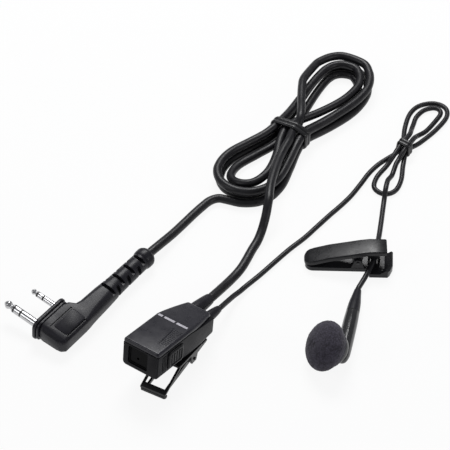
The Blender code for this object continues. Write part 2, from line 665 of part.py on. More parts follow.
def make_board_and_switch(finishes):
    left = -MIC_WIDTH / 2.0 + WALL + 2.0 * GAP
    low = FLOOR + GAP
    board = rounded(left, left + BOARD_WIDTH, BOARD_START, BOARD_START + BOARD_LENGTH, (0.6 * MM,) * 4, 1)
    add("circuit_board", prism(board, low, low + BOARD_THICKNESS), finishes["board"], MIC)
    deep, long, tall = SWITCH_SIZE
    nub = button_nub()
    start = nub - BUTTON_TRAVEL - FIT - PLUNGER - deep
    centre = BUTTON_START + BUTTON_LENGTH / 2.0
    base = low + BOARD_THICKNESS + GAP
    rings = []
    for x, half_y, low_z, high_z in (
        (start, long / 2.0, base, base + tall),
        (start + deep, long / 2.0, base, base + tall),
        (start + deep, long / 5.0, base + 0.3 * tall, base + 0.7 * tall),
        (start + deep + PLUNGER, long / 5.0, base + 0.3 * tall, base + 0.7 * tall),
    ):
        outline = rounded(centre - half_y, centre + half_y, low_z, high_z, (0.2 * MM,) * 4, 1)
        rings.append([(x, a, b) for a, b in outline])
    add("ptt_switch", loft(rings), finishes["steel"], MIC)


def button_nub():
    """How far from the case's middle the button's inner end lies at rest."""
    return MIC_WIDTH / 2.0 - WALL - GAP - LIP_THICKNESS - 0.25 * MM


def make_ptt_button(finish):
    wall_face = MIC_WIDTH / 2.0 - WALL - GAP
    outer = MIC_WIDTH / 2.0 + BUTTON_PROUD
    round_edge = 0.35 * MM
    middle_y = BUTTON_START + BUTTON_LENGTH / 2.0
    rings = []
    for x, grow_y, grow_z, radius in (
        (button_nub(), -0.3 * BUTTON_LENGTH, -0.3 * BUTTON_HEIGHT, 0.5 * MM),
        (wall_face - LIP_THICKNESS, -0.3 * BUTTON_LENGTH, -0.3 * BUTTON_HEIGHT, 0.5 * MM),
        (wall_face - LIP_THICKNESS, BUTTON_LIP, LIP_RISE, 1.2 * MM),
        (wall_face, BUTTON_LIP, LIP_RISE, 1.2 * MM),
        (wall_face, 0.0, 0.0, 1.2 * MM),
        (outer - round_edge, 0.0, 0.0, 1.2 * MM),
        (outer, -round_edge, -round_edge, 1.0 * MM),
    ):
        outline = rounded(BUTTON_START - grow_y, BUTTON_START + BUTTON_LENGTH + grow_y,
                          BUTTON_RAISE - grow_z, BUTTON_RAISE + BUTTON_HEIGHT + grow_z, (radius,) * 4)
        rings.append([(x, a, b) for a, b in outline])
    button = add("ptt_button", loft(rings), finish, MIC)
    pivot = MIC @ placed((outer, middle_y, BUTTON_RAISE + BUTTON_HEIGHT / 2.0))
    report_joint("ptt_press", pivot, MIC.to_3x3() @ Vector((-1.0, 0.0, 0.0)))
    return parented(button, "ptt_axis", pivot)


def make_screws(finish):
    for name, (x, y) in SCREWS.items():
        head = SCREW_HEAD / 2.0
        profile = [(head, 0.0), (head, SCREW_HEAD_HEIGHT), (SCREW_SHANK / 2.0, SCREW_HEAD_HEIGHT),
                   (SCREW_SHANK / 2.0, SCREW_LENGTH), (0.3 * SCREW_SHANK, SCREW_LENGTH + 0.4 * MM)]
        screw = add(name, turned(profile, SMALL_ROUND), finish, MIC @ placed((x, y, 0.0)))
        slot = 0.35 * MM
        combine(screw, box((-head - MM, -slot, -MM), (head + MM, slot, 0.3 * MM)))


def boot_tip(across, length):
    """Where a cord leaves its boot, and the way it runs, in the part's frame."""
    spot = MIC @ Vector((across, MIC_LENGTH + length, BOOT_HEIGHT))
    return spot, (MIC.to_3x3() @ Vector((0.0, 1.0, 0.0))).normalized()


def make_boot(name, across, diameter, length, cord, finish):
    radius = diameter / 2.0
    start = MIC_LENGTH - WALL - GAP - BOOT_FLANGE
    profile = [
        (radius, start),
        (radius, start + BOOT_FLANGE),
        (boot_neck(diameter), start + BOOT_FLANGE),
        (boot_neck(diameter), MIC_LENGTH + GAP),
        (radius, MIC_LENGTH + GAP),
        (radius, MIC_LENGTH + 0.3 * length),
        (0.5 * (radius + cord / 2.0 + 0.3 * MM), MIC_LENGTH + 0.75 * length),
        (cord / 2.0 + 0.3 * MM, MIC_LENGTH + length),
    ]
    add(name, turned(profile), finish, MIC @ placed((across, 0.0, BOOT_HEIGHT)) @ ALONG_Y)


# ---------------------------------------------------------------- microphone clip
def clip_pin_height():
    return -PIN_DROP


def make_clip_base(finish):
    half = CLIP_WIDTH / 2.0
    top = -GAP
    low = top - STEEL
    plate = rounded(-half, half, -BASE_FRONT, BASE_REAR, (0.6 * MM, 0.6 * MM, 2.0 * MM, 2.0 * MM))
    base = add("clip_base", prism(plate, low, top), finish, CLIP)
    for side in (-1, 1):
        ear = [(-EAR_FOOT, low + STEEL / 2.0), (-EAR_HEAD, clip_pin_height() - EAR_HEAD),
               (EAR_HEAD, clip_pin_height() - EAR_HEAD), (EAR_FOOT, low + STEEL / 2.0)]
        inner, outer = sorted((side * (half - STEEL), side * half))
        combine(base, prism(ear, inner, outer, "X"), "UNION")
    front = JAW_REACH
    rail = RAIL
    overlap = 1.2 * MM
    outline = [(-half, -BASE_FRONT + overlap), (-half, -front), (half, -front), (half, -BASE_FRONT + overlap),
               (half - rail, -BASE_FRONT + overlap), (half - rail, -front + TIP_DEPTH),
               (-half + rail, -front + TIP_DEPTH), (-half + rail, -BASE_FRONT + overlap)]
    tip = -JAW_DROP + STEEL + JAW_MOUTH + STEEL

    def fixed_height(y):
        share = (-y - BASE_FRONT + overlap) / (front - BASE_FRONT + overlap)
        return (top - 0.1 * MM) + (tip - top) * share

    rings = [[(x, y, fixed_height(y) - drop) for x, y in outline] for drop in (STEEL, 0.0)]
    combine(base, loft(rings), "UNION")
    combine(base, rod(RIVET_SHANK / 2.0 + FIT, low - MM, top + MM), "DIFFERENCE")
    combine(base, rod(PIN_DIAMETER / 2.0 + FIT, -half - MM, half + MM), "DIFFERENCE",
            CLIP @ placed((0.0, 0.0, clip_pin_height())) @ ALONG_X)
    return base


def make_clip_rivet(finish):
    head = RIVET_HEAD / 2.0
    shank = RIVET_SHANK / 2.0
    low = -GAP - STEEL - GAP
    inside = FLOOR + GAP
    profile = [(0.6 * head, low - RIVET_HEAD_HEIGHT), (head, low - 0.4 * RIVET_HEAD_HEIGHT), (head, low),
               (shank, low), (shank, inside), (head, inside), (head, inside + RIVET_HEAD_HEIGHT)]
    add("clip_rivet", turned(profile), finish, CLIP)


def make_clip_jaw(finish):
    half = CLIP_WIDTH / 2.0 - STEEL - GAP
    pin = clip_pin_height()
    hub = 1.45 * MM
    tip_top = -JAW_DROP + STEEL
    tip_low = -JAW_DROP
    jaw = None
    for side in (-1, 1):
        profile = [
            (-JAW_REACH + 0.2 * MM, tip_top), (-JAW_REACH + 0.2 * MM, tip_low), (-hub, pin - hub),
            (hub, pin - hub), (LEVER_REACH, -LEVER_DROP - STEEL), (LEVER_REACH, -LEVER_DROP),
            (hub, pin + 0.6 * hub), (0.0, pin + hub), (-hub, pin + 0.6 * hub),
        ]
        inner, outer = sorted((side * (half - RAIL), side * half))
        wall = prism(profile, inner, outer, "X")
        if jaw is None:
            jaw = add("clip_jaw", wall, finish, CLIP)
        else:
            combine(jaw, wall, "UNION")
    wide = CLIP_WIDTH / 2.0
    bar = rounded(-wide, wide, -JAW_REACH, -JAW_REACH + TIP_DEPTH, (0.7 * MM, 0.7 * MM, 0.2 * MM, 0.2 * MM))
    combine(jaw, prism(bar, tip_low - 0.05 * MM, tip_top - 0.05 * MM), "UNION")
    lever_start = hub + 1.4 * MM
    spread = half - 0.1 * MM
    slope = [(lever_start, lever_height(lever_start)), (LEVER_REACH + 0.1 * MM, lever_height(LEVER_REACH))]
    rings = [[(-spread, slope[0][0], slope[0][1] - drop), (spread, slope[0][0], slope[0][1] - drop),
              (spread, slope[1][0], slope[1][1] - drop), (-spread, slope[1][0], slope[1][1] - drop)]
             for drop in (STEEL, 0.05 * MM)]
    combine(jaw, loft(rings), "UNION")
    combine(jaw, rod(PIN_DIAMETER / 2.0 + FIT, -wide, wide), "DIFFERENCE",
            CLIP @ placed((0.0, 0.0, pin)) @ ALONG_X)
    pivot = CLIP @ placed((0.0, 0.0, pin))
    report_joint("clip_open", pivot, CLIP.to_3x3() @ Vector((1.0, 0.0, 0.0)))
    return parented(jaw, "clip_axis", pivot)


def lever_height(y):
    """Height of the thumb lever's upper face behind the hinge pin."""
    hub = 1.45 * MM
    share = (y - hub) / (LEVER_REACH - hub)
    start = clip_pin_height() + 0.6 * hub
    return start + (-LEVER_DROP - start) * share


def spring_coil(radius, pitch, turns, per_turn=9):
    """Points of a coil along X, centred on the origin."""
    count = turns * per_turn
    length = pitch * turns
    return [
        (
            -length / 2.0 + pitch * i / per_turn,
            radius * math.cos(2.0 * math.pi * i / per_turn),
            radius * math.sin(2.0 * math.pi * i / per_turn),
        )
        for i in range(count + 1)
    ]


def make_clip_pin_and_spring(finishes):
    pin = clip_pin_height()
    place = CLIP @ placed((0.0, 0.0, pin))
    half = CLIP_WIDTH / 2.0 + 0.5 * MM
    radius = PIN_DIAMETER / 2.0
    edge = 0.15 * MM
    profile = [(radius - edge, -half), (radius, -half + edge), (radius, half - edge), (radius - edge, half)]
    add("clip_pin", turned(profile, SMALL_ROUND), finishes["steel"], place @ ALONG_X)
    coil = spring_coil(radius + GAP + SPRING_WIRE / 2.0, SPRING_PITCH, SPRING_TURNS)
    points = [place @ Vector(point) for point in coil]
    tube("clip_spring", points, SPRING_WIRE, finishes["spring"], 1)
    report_gap("clip_spring", points, SPRING_WIRE)


# ---------------------------------------------------------------- plug
def head_half_height(x):
    """Half the head's height, which falls from the pin side to the far side."""
    share = (x + HEAD_DEPTH) / HEAD_DEPTH
    return (HEAD_REAR_HEIGHT + (HEAD_FRONT_HEIGHT - HEAD_REAR_HEIGHT) * share) / 2.0


def head_end():
    """Distance along the cord, from the large pin, of the head's closed end."""
    return flange_middle() - FLANGE_LENGTH / 2.0 + 1.1 * MM


def relief_start():
    """Distance along the cord, from the large pin, to where the segmented relief starts."""
    return head_end() + HEAD_LENGTH + NECK_LENGTH


def flange_middle():
    return PIN_SPACING / 2.0 - 0.7 * MM


def make_plug_head(finish):
    end = head_end()
    thick = end + HEAD_LENGTH - 4.0 * MM
    front = -FLANGE_DEPTH - GAP
    neck_front = RELIEF_ACROSS + RELIEF_DIAMETER / 2.0
    neck_rear = RELIEF_ACROSS - RELIEF_DIAMETER / 2.0
    step = end + HEAD_LENGTH
    finish_at = relief_start()
    middle = 0.5 * (step + finish_at)
    stations = [
        (end, -HEAD_DEPTH + 2.2 * MM, front - 1.6 * MM, 0.66, 1.6 * MM),
        (end + 0.7 * MM, -HEAD_DEPTH + 0.8 * MM, front - 0.6 * MM, 0.88, 2.0 * MM),
        (end + 2.2 * MM, -HEAD_DEPTH, front, 1.0, 1.6 * MM),
        (thick, -HEAD_DEPTH + 0.1 * MM, front, 1.0, 1.6 * MM),
        (step - 1.4 * MM, -HEAD_DEPTH + 0.2 * MM, front - 1.0 * MM, 1.0, 1.8 * MM),
        (step + 0.4 * MM, -HEAD_DEPTH + 0.3 * MM, front - 3.4 * MM, 1.0, 2.2 * MM),
        (step + 3.0 * MM, -HEAD_DEPTH + 0.4 * MM, 0.5 * (neck_front + front - 3.6 * MM), 1.0, 2.6 * MM),
        (middle + 2.0 * MM, 0.5 * (neck_rear - HEAD_DEPTH + 0.4 * MM), neck_front + 0.2 * MM, 1.0, 3.2 * MM),
        (finish_at, neck_rear, neck_front, 1.0, 3.9 * MM),
    ]
    rings = []
    for s, low_x, high_x, share, radius in stations:
        blend = min(1.0, max(0.0, (s - step) / (finish_at - step)))
        ring = head_ring(low_x, high_x, radius, share, blend)
        rings.append([(x, -s, z) for x, z in ring])
    return add("plug_head", loft(rings), finish, PLUG)


def head_ring(low_x, high_x, radius, share, blend):
    """Section of the head across the cord: a rounded rectangle that turns into the relief's circle."""
    round_half = RELIEF_DIAMETER / 2.0
    half = head_half_height(0.5 * (low_x + high_x)) * share
    half = half + (round_half - half) * blend
    limit = min(radius, half, 0.5 * (high_x - low_x))
    ring = rounded(low_x, high_x, -half, half, (limit,) * 4, 3)
    slope = (HEAD_FRONT_HEIGHT - HEAD_REAR_HEIGHT) / 2.0 / HEAD_DEPTH * (1.0 - blend) * share
    centre = 0.5 * (low_x + high_x)
    return [(x, z * (1.0 + slope * (x - centre) / half)) for x, z in ring]


def make_plug_flange(finish):
    middle = flange_middle()
    half_long = FLANGE_LENGTH / 2.0
    half_high = FLANGE_HEIGHT / 2.0
    rings = []
    for x, inset in ((-FLANGE_DEPTH, 0.0), (-0.45 * MM, 0.0), (0.0, 0.4 * MM)):
        outline = rounded(middle - half_long + inset, middle + half_long - inset, -half_high + inset,
                          half_high - inset, (FLANGE_ROUND - inset,) * 4, 4)
        rings.append([(x, -s, z) for s, z in outline])
    return add("plug_flange", loft(rings), finish, PLUG)


def make_jack_pin(name, size, along, finishes):
    """A three-contact jack pin: tip, ring and sleeve on an insulating core."""
    radius = size["diameter"] / 2.0
    core = radius * CORE_SHARE
    play = FIT / 2.0
    place = PLUG @ placed((0.0, -along, 0.0)) @ ALONG_X
    start = GAP
    sleeve = size["sleeve"]
    ring_start = sleeve + INSULATOR
    ring = size["ring"]
    tip_start = ring + INSULATOR
    length = size["length"]
    collar = radius - 0.04 * MM
    inner = core + play
    profile = [(inner, start), (radius, start), (radius, sleeve), (inner, sleeve)]
    add(f"{name}_sleeve", turned(profile, SMALL_ROUND, ring=True), finishes["contact"], place)
    profile = [(inner, ring_start), (radius, ring_start), (radius, ring), (inner, ring)]
    add(f"{name}_ring", turned(profile, SMALL_ROUND, ring=True), finishes["contact"], place)
    profile = [(core, start), (core, sleeve + play), (collar, sleeve + play), (collar, ring_start - play),
               (core, ring_start - play), (core, ring + play), (collar, ring + play),
               (collar, tip_start - play)]
    add(f"{name}_core", turned(profile, SMALL_ROUND), finishes["moulded"], place)
    reach = length - tip_start
    profile = [(radius, tip_start), (0.62 * radius, tip_start + 0.28 * reach),
               (0.98 * radius, tip_start + 0.55 * reach), (0.9 * radius, tip_start + 0.72 * reach),
               (0.28 * radius, length)]
    add(f"{name}_tip", turned(profile, SMALL_ROUND), finishes["contact"], place)


def relief_tip():
    """Where the plug cord leaves its relief, and the way it runs, in the part's frame."""
    spot = PLUG @ Vector((RELIEF_ACROSS, -(relief_start() + RELIEF_LENGTH), 0.0))
    return spot, (PLUG.to_3x3() @ Vector((0.0, -1.0, 0.0))).normalized()


def make_plug_relief(finish):
    radius = RELIEF_DIAMETER / 2.0
    start = relief_start() + GAP
    end = relief_start() + RELIEF_LENGTH
    collar = end - COLLAR_LENGTH
    proud = radius + 0.15 * MM
    profile = [(radius, start), (radius - 0.25 * MM, collar - 0.5 * MM), (proud, collar + 0.6 * MM),
               (proud, end - 1.9 * MM), (radius - 0.9 * MM, end - 0.5 * MM),
               (MAIN_CORD / 2.0 + 0.5 * MM, end)]
    place = PLUG @ placed((RELIEF_ACROSS, 0.0, 0.0), (90.0, "X"))
    relief = add("plug_relief", turned(profile, ROUND), finish, place)
    count = int((collar - start - SLOT_STEP / 2.0) / SLOT_STEP)
    wide = radius + MM
    for i in range(count):
        middle = start + SLOT_STEP * (i + 0.8)
        below = middle - SLOT_WIDTH / 2.0
        above = middle + SLOT_WIDTH / 2.0
        for side in (-1, 1):
            near, far = sorted((side * (radius - SLOT_DEPTH), side * wide))
            if i % 2:
                slot = box((near, -wide, below), (far, wide, above))
            else:
                slot = box((-wide, near, below), (wide, far, above))
            combine(relief, slot)
    return relief


# ---------------------------------------------------------------- cords and hanks
def hank_matrix(hank):
    return placed(layout(*hank["waist"]), (hank["heading"], "Z"))


def by_bend(points, number):
    """A number of points along a line of many, closer together where it bends."""
    step = np.diff(points[:, :2], axis=0)
    length = np.linalg.norm(step, axis=1)
    heading = np.unwrap(np.arctan2(step[:, 1], step[:, 0]))
    turn = np.abs(np.concatenate([[0.0], np.diff(heading)]))
    run = np.concatenate([[0.0], np.cumsum(length / length.sum() + 1.2 * turn / max(turn.sum(), 1.0))])
    marks = np.linspace(0.0, run[-1], number + 1)
    return np.stack([np.interp(marks, run, points[:, k]) for k in range(points.shape[1])], axis=1)


def wound(hank, diameter):
    """The main hank's winding in its own frame: round its outline, as far out and as high as it says."""
    outline = smooth_points(hank["outline"], 0.25, closed=True)[:-1]
    count = len(outline)
    ahead = np.roll(outline, -3, axis=0) - np.roll(outline, 3, axis=0)
    normal = np.stack([ahead[:, 1], -ahead[:, 0]], axis=1)
    normal /= np.linalg.norm(normal, axis=1)[:, None]
    rounds, outs, layers = np.array(hank["winding"]).T
    fine = []
    for i in range(int(rounds[0] * count), int(rounds[-1] * count) + 1):
        near = np.linspace(i / count - hank["ease"], i / count + hank["ease"], 9)
        out = np.interp(near, rounds, outs).mean()
        climb = np.interp(near, rounds, layers).mean()
        along, across = outline[i % count]
        lift = hank["lift"] * math.exp(-((along / WAIST_REACH) ** 2))
        height = diameter / MM / 2.0 + LIFT_OFF + lift + climb * hank["layer"]
        side = normal[i % count]
        fine.append((along + side[0] * out, across + side[1] * out, height))
    points = by_bend(np.array(fine), round((rounds[-1] - rounds[0]) * LOOP_POINTS))
    return [Vector(point) * MM for point in points]


def laid(hank, diameter):
    """The thin hank's winding in its own frame, through its route."""
    route = []
    for along, across, layer in hank["route"]:
        lift = hank["lift"] * math.exp(-((along / THIN_WAIST_REACH) ** 2))
        route.append((along, across, diameter / MM / 2.0 + LIFT_OFF + lift + layer * hank["layer"]))
    points = by_bend(smooth_points(route, 0.25), round(2.0 * LOOP_POINTS))
    return [Vector(point) * MM for point in points]


def with_straight_ends(points, length):
    """The points with a straight run added at each end, in line with it."""
    first = (points[0] - points[1]).normalized()
    last = (points[-1] - points[-2]).normalized()
    return [points[0] + first * length, *points, points[-1] + last * length]


def hank_points(hank, points, diameter):
    frame = hank_matrix(hank)
    return with_straight_ends([frame @ point for point in points], 0.6 * diameter)


def free_cord(name, start, route, end, diameter, finish, spacing=2.5):
    """A free stretch through its route, with a straight run of a little over one diameter at each end."""
    straight = 1.2 * diameter
    head = [start[0] + start[1] * (GAP + share * straight) for share in (0.0, 0.5, 1.0)]
    tail = [end[0] + end[1] * (GAP + share * straight) for share in (1.0, 0.5, 0.0)]
    through = head + [layout(*point) for point in route] + tail
    fine = smooth_points([tuple(point) for point in through], 0.1 * diameter)
    run = np.concatenate([[0.0], np.cumsum(np.linalg.norm(np.diff(fine, axis=0), axis=1))])
    number = round((run[-1] - 2.0 * straight) / (spacing * diameter))
    marks = np.concatenate([[0.0], np.linspace(straight, run[-1] - straight, number + 1), [run[-1]]])
    points = np.stack([np.interp(marks, run, fine[:, k]) for k in range(3)], axis=1)
    print(f"{name}: {run[-1] * 1000:.1f} mm long, {len(points)} points")
    tube(name, [tuple(point) for point in points], diameter, finish, 2)


def ends_of(points):
    """Both ends of a winding, each with the way that a cord leaves it."""
    first = (points[0] - points[1]).normalized()
    last = (points[-1] - points[-2]).normalized()
    return (points[0], first), (points[-1], last)


def make_tie(name, hank, size, finish):
    """A closed strap round a hank's waist."""
    wall = TIE_THICKNESS
    corner = wall + TIE_ROUND
    half = size["width"] / 2.0
    left = size["left"]
    right = -size["right"]
    top = size["height"]
    outer = rounded(right, left, TIE_LOW, top, (corner,) * 4, 3)
    inner = rounded(right + wall, left - wall, TIE_LOW + wall, top - wall, (TIE_ROUND,) * 4, 3)
    sections = ((-half, outer), (half, outer), (half, inner), (-half, inner))
    rings = [[(x, a, b) for a, b in outline] for x, outline in sections]
    add(name, loft(rings, closed=True), finish, hank_matrix(hank))


def make_cords(finishes):
    jacket = finishes["jacket"]
    main = hank_points(MAIN_HANK, wound(MAIN_HANK, MAIN_CORD), MAIN_CORD)
    tube("main_hank", [tuple(p) for p in main], MAIN_CORD, jacket, 1)
    report_gap("main_hank", main, MAIN_CORD)
    main_in, main_out = ends_of(main)
    free_cord("main_cord_plug_side", relief_tip(), PLUG_ROUTE, main_in, MAIN_CORD, jacket)
    free_cord("main_cord_mic_side", main_out, MIC_ROUTE, boot_tip(MAIN_BOOT_ACROSS, MAIN_BOOT_LENGTH),
              MAIN_CORD, jacket, spacing=1.2)
    thin = hank_points(THIN_HANK, laid(THIN_HANK, THIN_CORD), THIN_CORD)
    tube("thin_hank", [tuple(p) for p in thin], THIN_CORD, jacket, 1)
    report_gap("thin_hank", thin, THIN_CORD)
    thin_in, thin_out = ends_of(thin)
    free_cord("thin_cord_mic_side", boot_tip(THIN_BOOT_ACROSS, THIN_BOOT_LENGTH), THIN_MIC_ROUTE, thin_in,
              THIN_CORD, jacket)
    free_cord("thin_cord_ear_side", thin_out, EAR_ROUTE, ear_boot_tip(), THIN_CORD, jacket)
    make_tie("main_hank_tie", MAIN_HANK, MAIN_TIE, jacket)
    make_tie("thin_hank_tie", THIN_HANK, THIN_TIE, jacket)


# ---------------------------------------------------------------- cord clip
def make_cord_clip_base(finish):
    half = CORD_CLIP_WIDTH / 2.0
    top = CORD_CLIP_BASE
    low = 0.05 * MM
    radii = (CORD_CLIP_ROUND, 0.2 * MM, 0.2 * MM, CORD_CLIP_ROUND)
    plan = rounded(0.6 * MM, HANDLE_START + MM, -half, half, radii, 3)
    base = add("cord_clip_base", prism(plan, low, top), finish, CORD_CLIP)
    rings = []
    stations = (
        (-HANDLE_FRONT, HANDLE_NARROW + 0.8 * MM),
        (-HANDLE_FRONT + MM, HANDLE_NARROW - 0.1 * MM),
        (-HANDLE_FRONT + HANDLE_TAPER, 0.2 * HANDLE_NARROW),
        (half - 0.05 * MM, 0.0),
    )
    for y, shorter in stations:
        end = HANDLE_END - shorter
        handle = [(HANDLE_START, low), (end, low), (end, HANDLE_RISE - 0.6 * MM),
                  (end - 0.7 * MM, HANDLE_RISE), (end - 3.4 * MM, top - 0.05 * MM),
                  (HANDLE_START, top - 0.05 * MM)]
        rings.append([(a, y, b) for a, b in handle])
    combine(base, loft(rings), "UNION")
    for side in (-1, 1):
        ear = [(CORD_CLIP_PIVOT - 3.0 * MM, top - 0.5 * MM), (CORD_CLIP_PIVOT + 3.0 * MM, top - 0.5 * MM),
               (CORD_CLIP_PIVOT + 1.5 * MM, CORD_CLIP_PIN_HEIGHT + 1.6 * MM),
               (CORD_CLIP_PIVOT - 1.5 * MM, CORD_CLIP_PIN_HEIGHT + 1.6 * MM)]
        near, far = sorted((side * (half - CORD_CLIP_EAR - 0.1 * MM), side * (half - 0.1 * MM)))
        combine(base, prism(ear, near, far, "Y"), "UNION")
    inner = THIN_CORD / 2.0 + 2.0 * GAP
    outer = inner + CORD_LOOP_WALL
    height = top + 0.2 * MM + THIN_CORD + GAP
    arch = [(-outer, top - 0.4 * MM), (-outer, height), (-0.5 * outer, height + CORD_LOOP_WALL),
            (0.5 * outer, height + CORD_LOOP_WALL), (outer, height), (outer, top - 0.4 * MM),
            (inner, top - 0.4 * MM), (inner, height - 0.2 * MM), (0.4 * inner, height),
            (-0.4 * inner, height), (-inner, height - 0.2 * MM), (-inner, top - 0.4 * MM)]
    loop = [(CORD_LOOP_PLACE + a, b) for a, b in arch]
    combine(base, prism(loop, -CORD_LOOP_LENGTH / 2.0, CORD_LOOP_LENGTH / 2.0, "Y"), "UNION")
    bore = rod(CORD_CLIP_PIN / 2.0 + FIT, -half - MM, half + MM)
    combine(base, bore, "DIFFERENCE", cord_clip_axis() @ ALONG_Y)
    return base


def cord_clip_axis():
    return CORD_CLIP @ placed((CORD_CLIP_PIVOT, 0.0, CORD_CLIP_PIN_HEIGHT))


def make_cord_clip_lever(finish):
    half = CORD_CLIP_WIDTH / 2.0
    thick = CORD_CLIP_PLATE
    bend_x, bend_z = CORD_CLIP_BEND
    tip_z = CORD_CLIP_TIP_HEIGHT
    end_z = CORD_CLIP_END_HEIGHT
    stations = [
        (0.4 * MM, tip_z - 0.9 * MM, 0.5, 0.62),
        (1.3 * MM, tip_z, 0.78, 0.9),
        (4.2 * MM, tip_z + 1.0 * MM, 1.0, 1.0),
        (bend_x - 2.0 * MM, bend_z - 0.55 * MM, 1.0, 1.0),
        (bend_x + 2.0 * MM, bend_z + 0.45 * MM, 1.0, 1.0),
        (bend_x + 6.0 * MM, end_z - 0.15 * MM, 0.98, 1.0),
        (CORD_CLIP_LENGTH - 0.5 * MM, end_z, 0.96, 1.0),
        (CORD_CLIP_LENGTH, end_z - 0.3 * MM, 0.92, 0.7),
    ]
    rings = []
    for x, z, wide, share in stations:
        low = z - thick * share
        outline = rounded(-half * wide, half * wide, low, z, (0.2 * MM, 0.2 * MM, 0.5 * MM, 0.5 * MM))
        rings.append([(x, a, b) for a, b in outline])
    lever = add("cord_clip_lever", loft(rings), finish, CORD_CLIP)
    ear_out = half - CORD_CLIP_EAR - 0.1 * MM - GAP
    for side in (-1, 1):
        ear = [
            (CORD_CLIP_PIVOT - 2.6 * MM, bend_z - 1.2 * MM),
            (CORD_CLIP_PIVOT - 1.5 * MM, CORD_CLIP_PIN_HEIGHT - 1.5 * MM),
            (CORD_CLIP_PIVOT + 1.5 * MM, CORD_CLIP_PIN_HEIGHT - 1.5 * MM),
            (CORD_CLIP_PIVOT + 2.6 * MM, bend_z - 0.8 * MM),
        ]
        near, far = sorted((side * (ear_out - CORD_CLIP_EAR), side * ear_out))
        combine(lever, prism(ear, near, far, "Y"), "UNION")
    bore = rod(CORD_CLIP_PIN / 2.0 + FIT, -half - MM, half + MM)
    combine(lever, bore, "DIFFERENCE", cord_clip_axis() @ ALONG_Y)
    report_joint("cord_clip_open", cord_clip_axis(), CORD_CLIP.to_3x3() @ Vector((0.0, 1.0, 0.0)))
    return parented(lever, "cord_clip_axis", cord_clip_axis())


def make_cord_clip_pin_and_spring(finishes):
    half = CORD_CLIP_WIDTH / 2.0 + 0.3 * MM
    radius = CORD_CLIP_PIN / 2.0
    add("cord_clip_pin", turned([(radius - 0.15 * MM, -half), (radius, -half + 0.15 * MM),
                                 (radius, half - 0.15 * MM), (radius - 0.15 * MM, half)], SMALL_ROUND),
        finishes["steel"], cord_clip_axis() @ ALONG_Y)
    coil = spring_coil(radius + GAP + CORD_SPRING_WIRE / 2.0, CORD_SPRING_WIRE + 0.45 * MM, 3)
    quarter = Matrix.Rotation(math.radians(90.0), 4, "Z")
    points = [cord_clip_axis() @ quarter @ Vector(point) for point in coil]
    tube("cord_clip_spring", points, CORD_SPRING_WIRE, finishes["spring"], 1)
    report_gap("cord_clip_spring", points, CORD_SPRING_WIRE)


# ---------------------------------------------------------------- earphone
def earphone_frame():
    return aimed(layout(*EARPHONE_PLACE), FACE, (0.0, 1.0, 0.0))


def stem_line():
    """Start and end of the stem's axis in the part's frame: behind the shell, and at the cord."""
    start = earphone_frame() @ Vector((0.0, 0.0, -STEM_DROP))
    return start, layout(*STEM_END)


def stem_frame():
    start, end = stem_line()
    return aimed(start, end - start, (0.0, 0.0, 1.0))


def ear_boot_tip():
    start, end = stem_line()
    return end, (end - start).normalized()


def make_earphone_shell(finish):
    outer = SHELL_DIAMETER / 2.0
    neck = SHELL_NECK / 2.0
    profile = [
        (0.0, -SHELL_BACK), (0.45 * neck, -SHELL_BACK + 0.2 * MM), (0.85 * neck, -SHELL_BACK + 1.3 * MM),
        (neck, -SHELL_BACK + 3.2 * MM), (neck, -SHELL_DEPTH - 0.5 * MM), (outer, -SHELL_DEPTH),
        (outer, SHELL_LIP), (outer - SHELL_WALL, SHELL_LIP),
        (outer - SHELL_WALL, -SHELL_DEPTH + SHELL_WALL), (neck - SHELL_WALL, -SHELL_DEPTH),
        (neck - SHELL_WALL, -SHELL_DEPTH - MAGNET_WELL), (0.0, -SHELL_DEPTH - MAGNET_WELL),
    ]
    shell = add("earphone_shell", turned(profile), finish, earphone_frame())
    start, end = stem_line()
    length = (end - start).length * STEM_SHARE
    radius = STEM_DIAMETER / 2.0
    profile = [(0.0, -STEM_OVER), (0.55 * radius, -STEM_OVER + 0.7 * MM),
               (0.85 * radius, -STEM_OVER + 2.6 * MM), (radius, -STEM_OVER + 6.5 * MM),
               (radius, 0.7 * length), (0.93 * radius, length)]
    combine(shell, turned(profile, 16), "UNION", stem_frame())
    return shell


def make_earphone_boot(finish):
    start, end = stem_line()
    total = (end - start).length
    low = total * STEM_SHARE + GAP
    radius = STEM_DIAMETER / 2.0
    reach = total - low
    profile = [(0.9 * radius, low), (0.8 * radius, low + 0.4 * reach), (0.62 * radius, low + 0.75 * reach),
               (EAR_BOOT_TIP / 2.0, total)]
    add("earphone_boot", turned(profile, 16), finish, stem_frame())


def make_driver_and_grille(finishes):
    place = earphone_frame()
    floor = -SHELL_DEPTH - MAGNET_WELL + GAP
    radius = DRIVER_DIAMETER / 2.0
    inner = SHELL_DIAMETER / 2.0 - SHELL_WALL
    low = -SHELL_DEPTH + SHELL_WALL + GAP
    magnet = SHELL_NECK / 2.0 - SHELL_WALL - GAP
    profile = [(magnet - 0.6 * MM, floor), (magnet - 0.6 * MM, low), (radius, low),
               (radius, low + DRIVER_DEPTH - 0.8 * MM), (0.6 * radius, low + DRIVER_DEPTH)]
    add("earphone_driver", turned(profile), finishes["capsule"], place)
    face = SHELL_LIP + GAP
    rim = SHELL_DIAMETER / 2.0
    profile = [(rim, face), (rim, face + GRILLE_THICKNESS), (0.5 * inner, face + 1.5 * GRILLE_THICKNESS),
               (0.0, face + 1.6 * GRILLE_THICKNESS)]
    grille = add("earphone_grille", turned(profile), finishes["case"], place)
    for i in range(6):
        angle = 2.0 * math.pi * i / 6
        spot = placed((0.45 * inner * math.cos(angle), 0.45 * inner * math.sin(angle), 0.0))
        combine(grille, rod(0.7 * MM, 0.0, face + 3.0 * MM, 8), "DIFFERENCE", place @ spot)


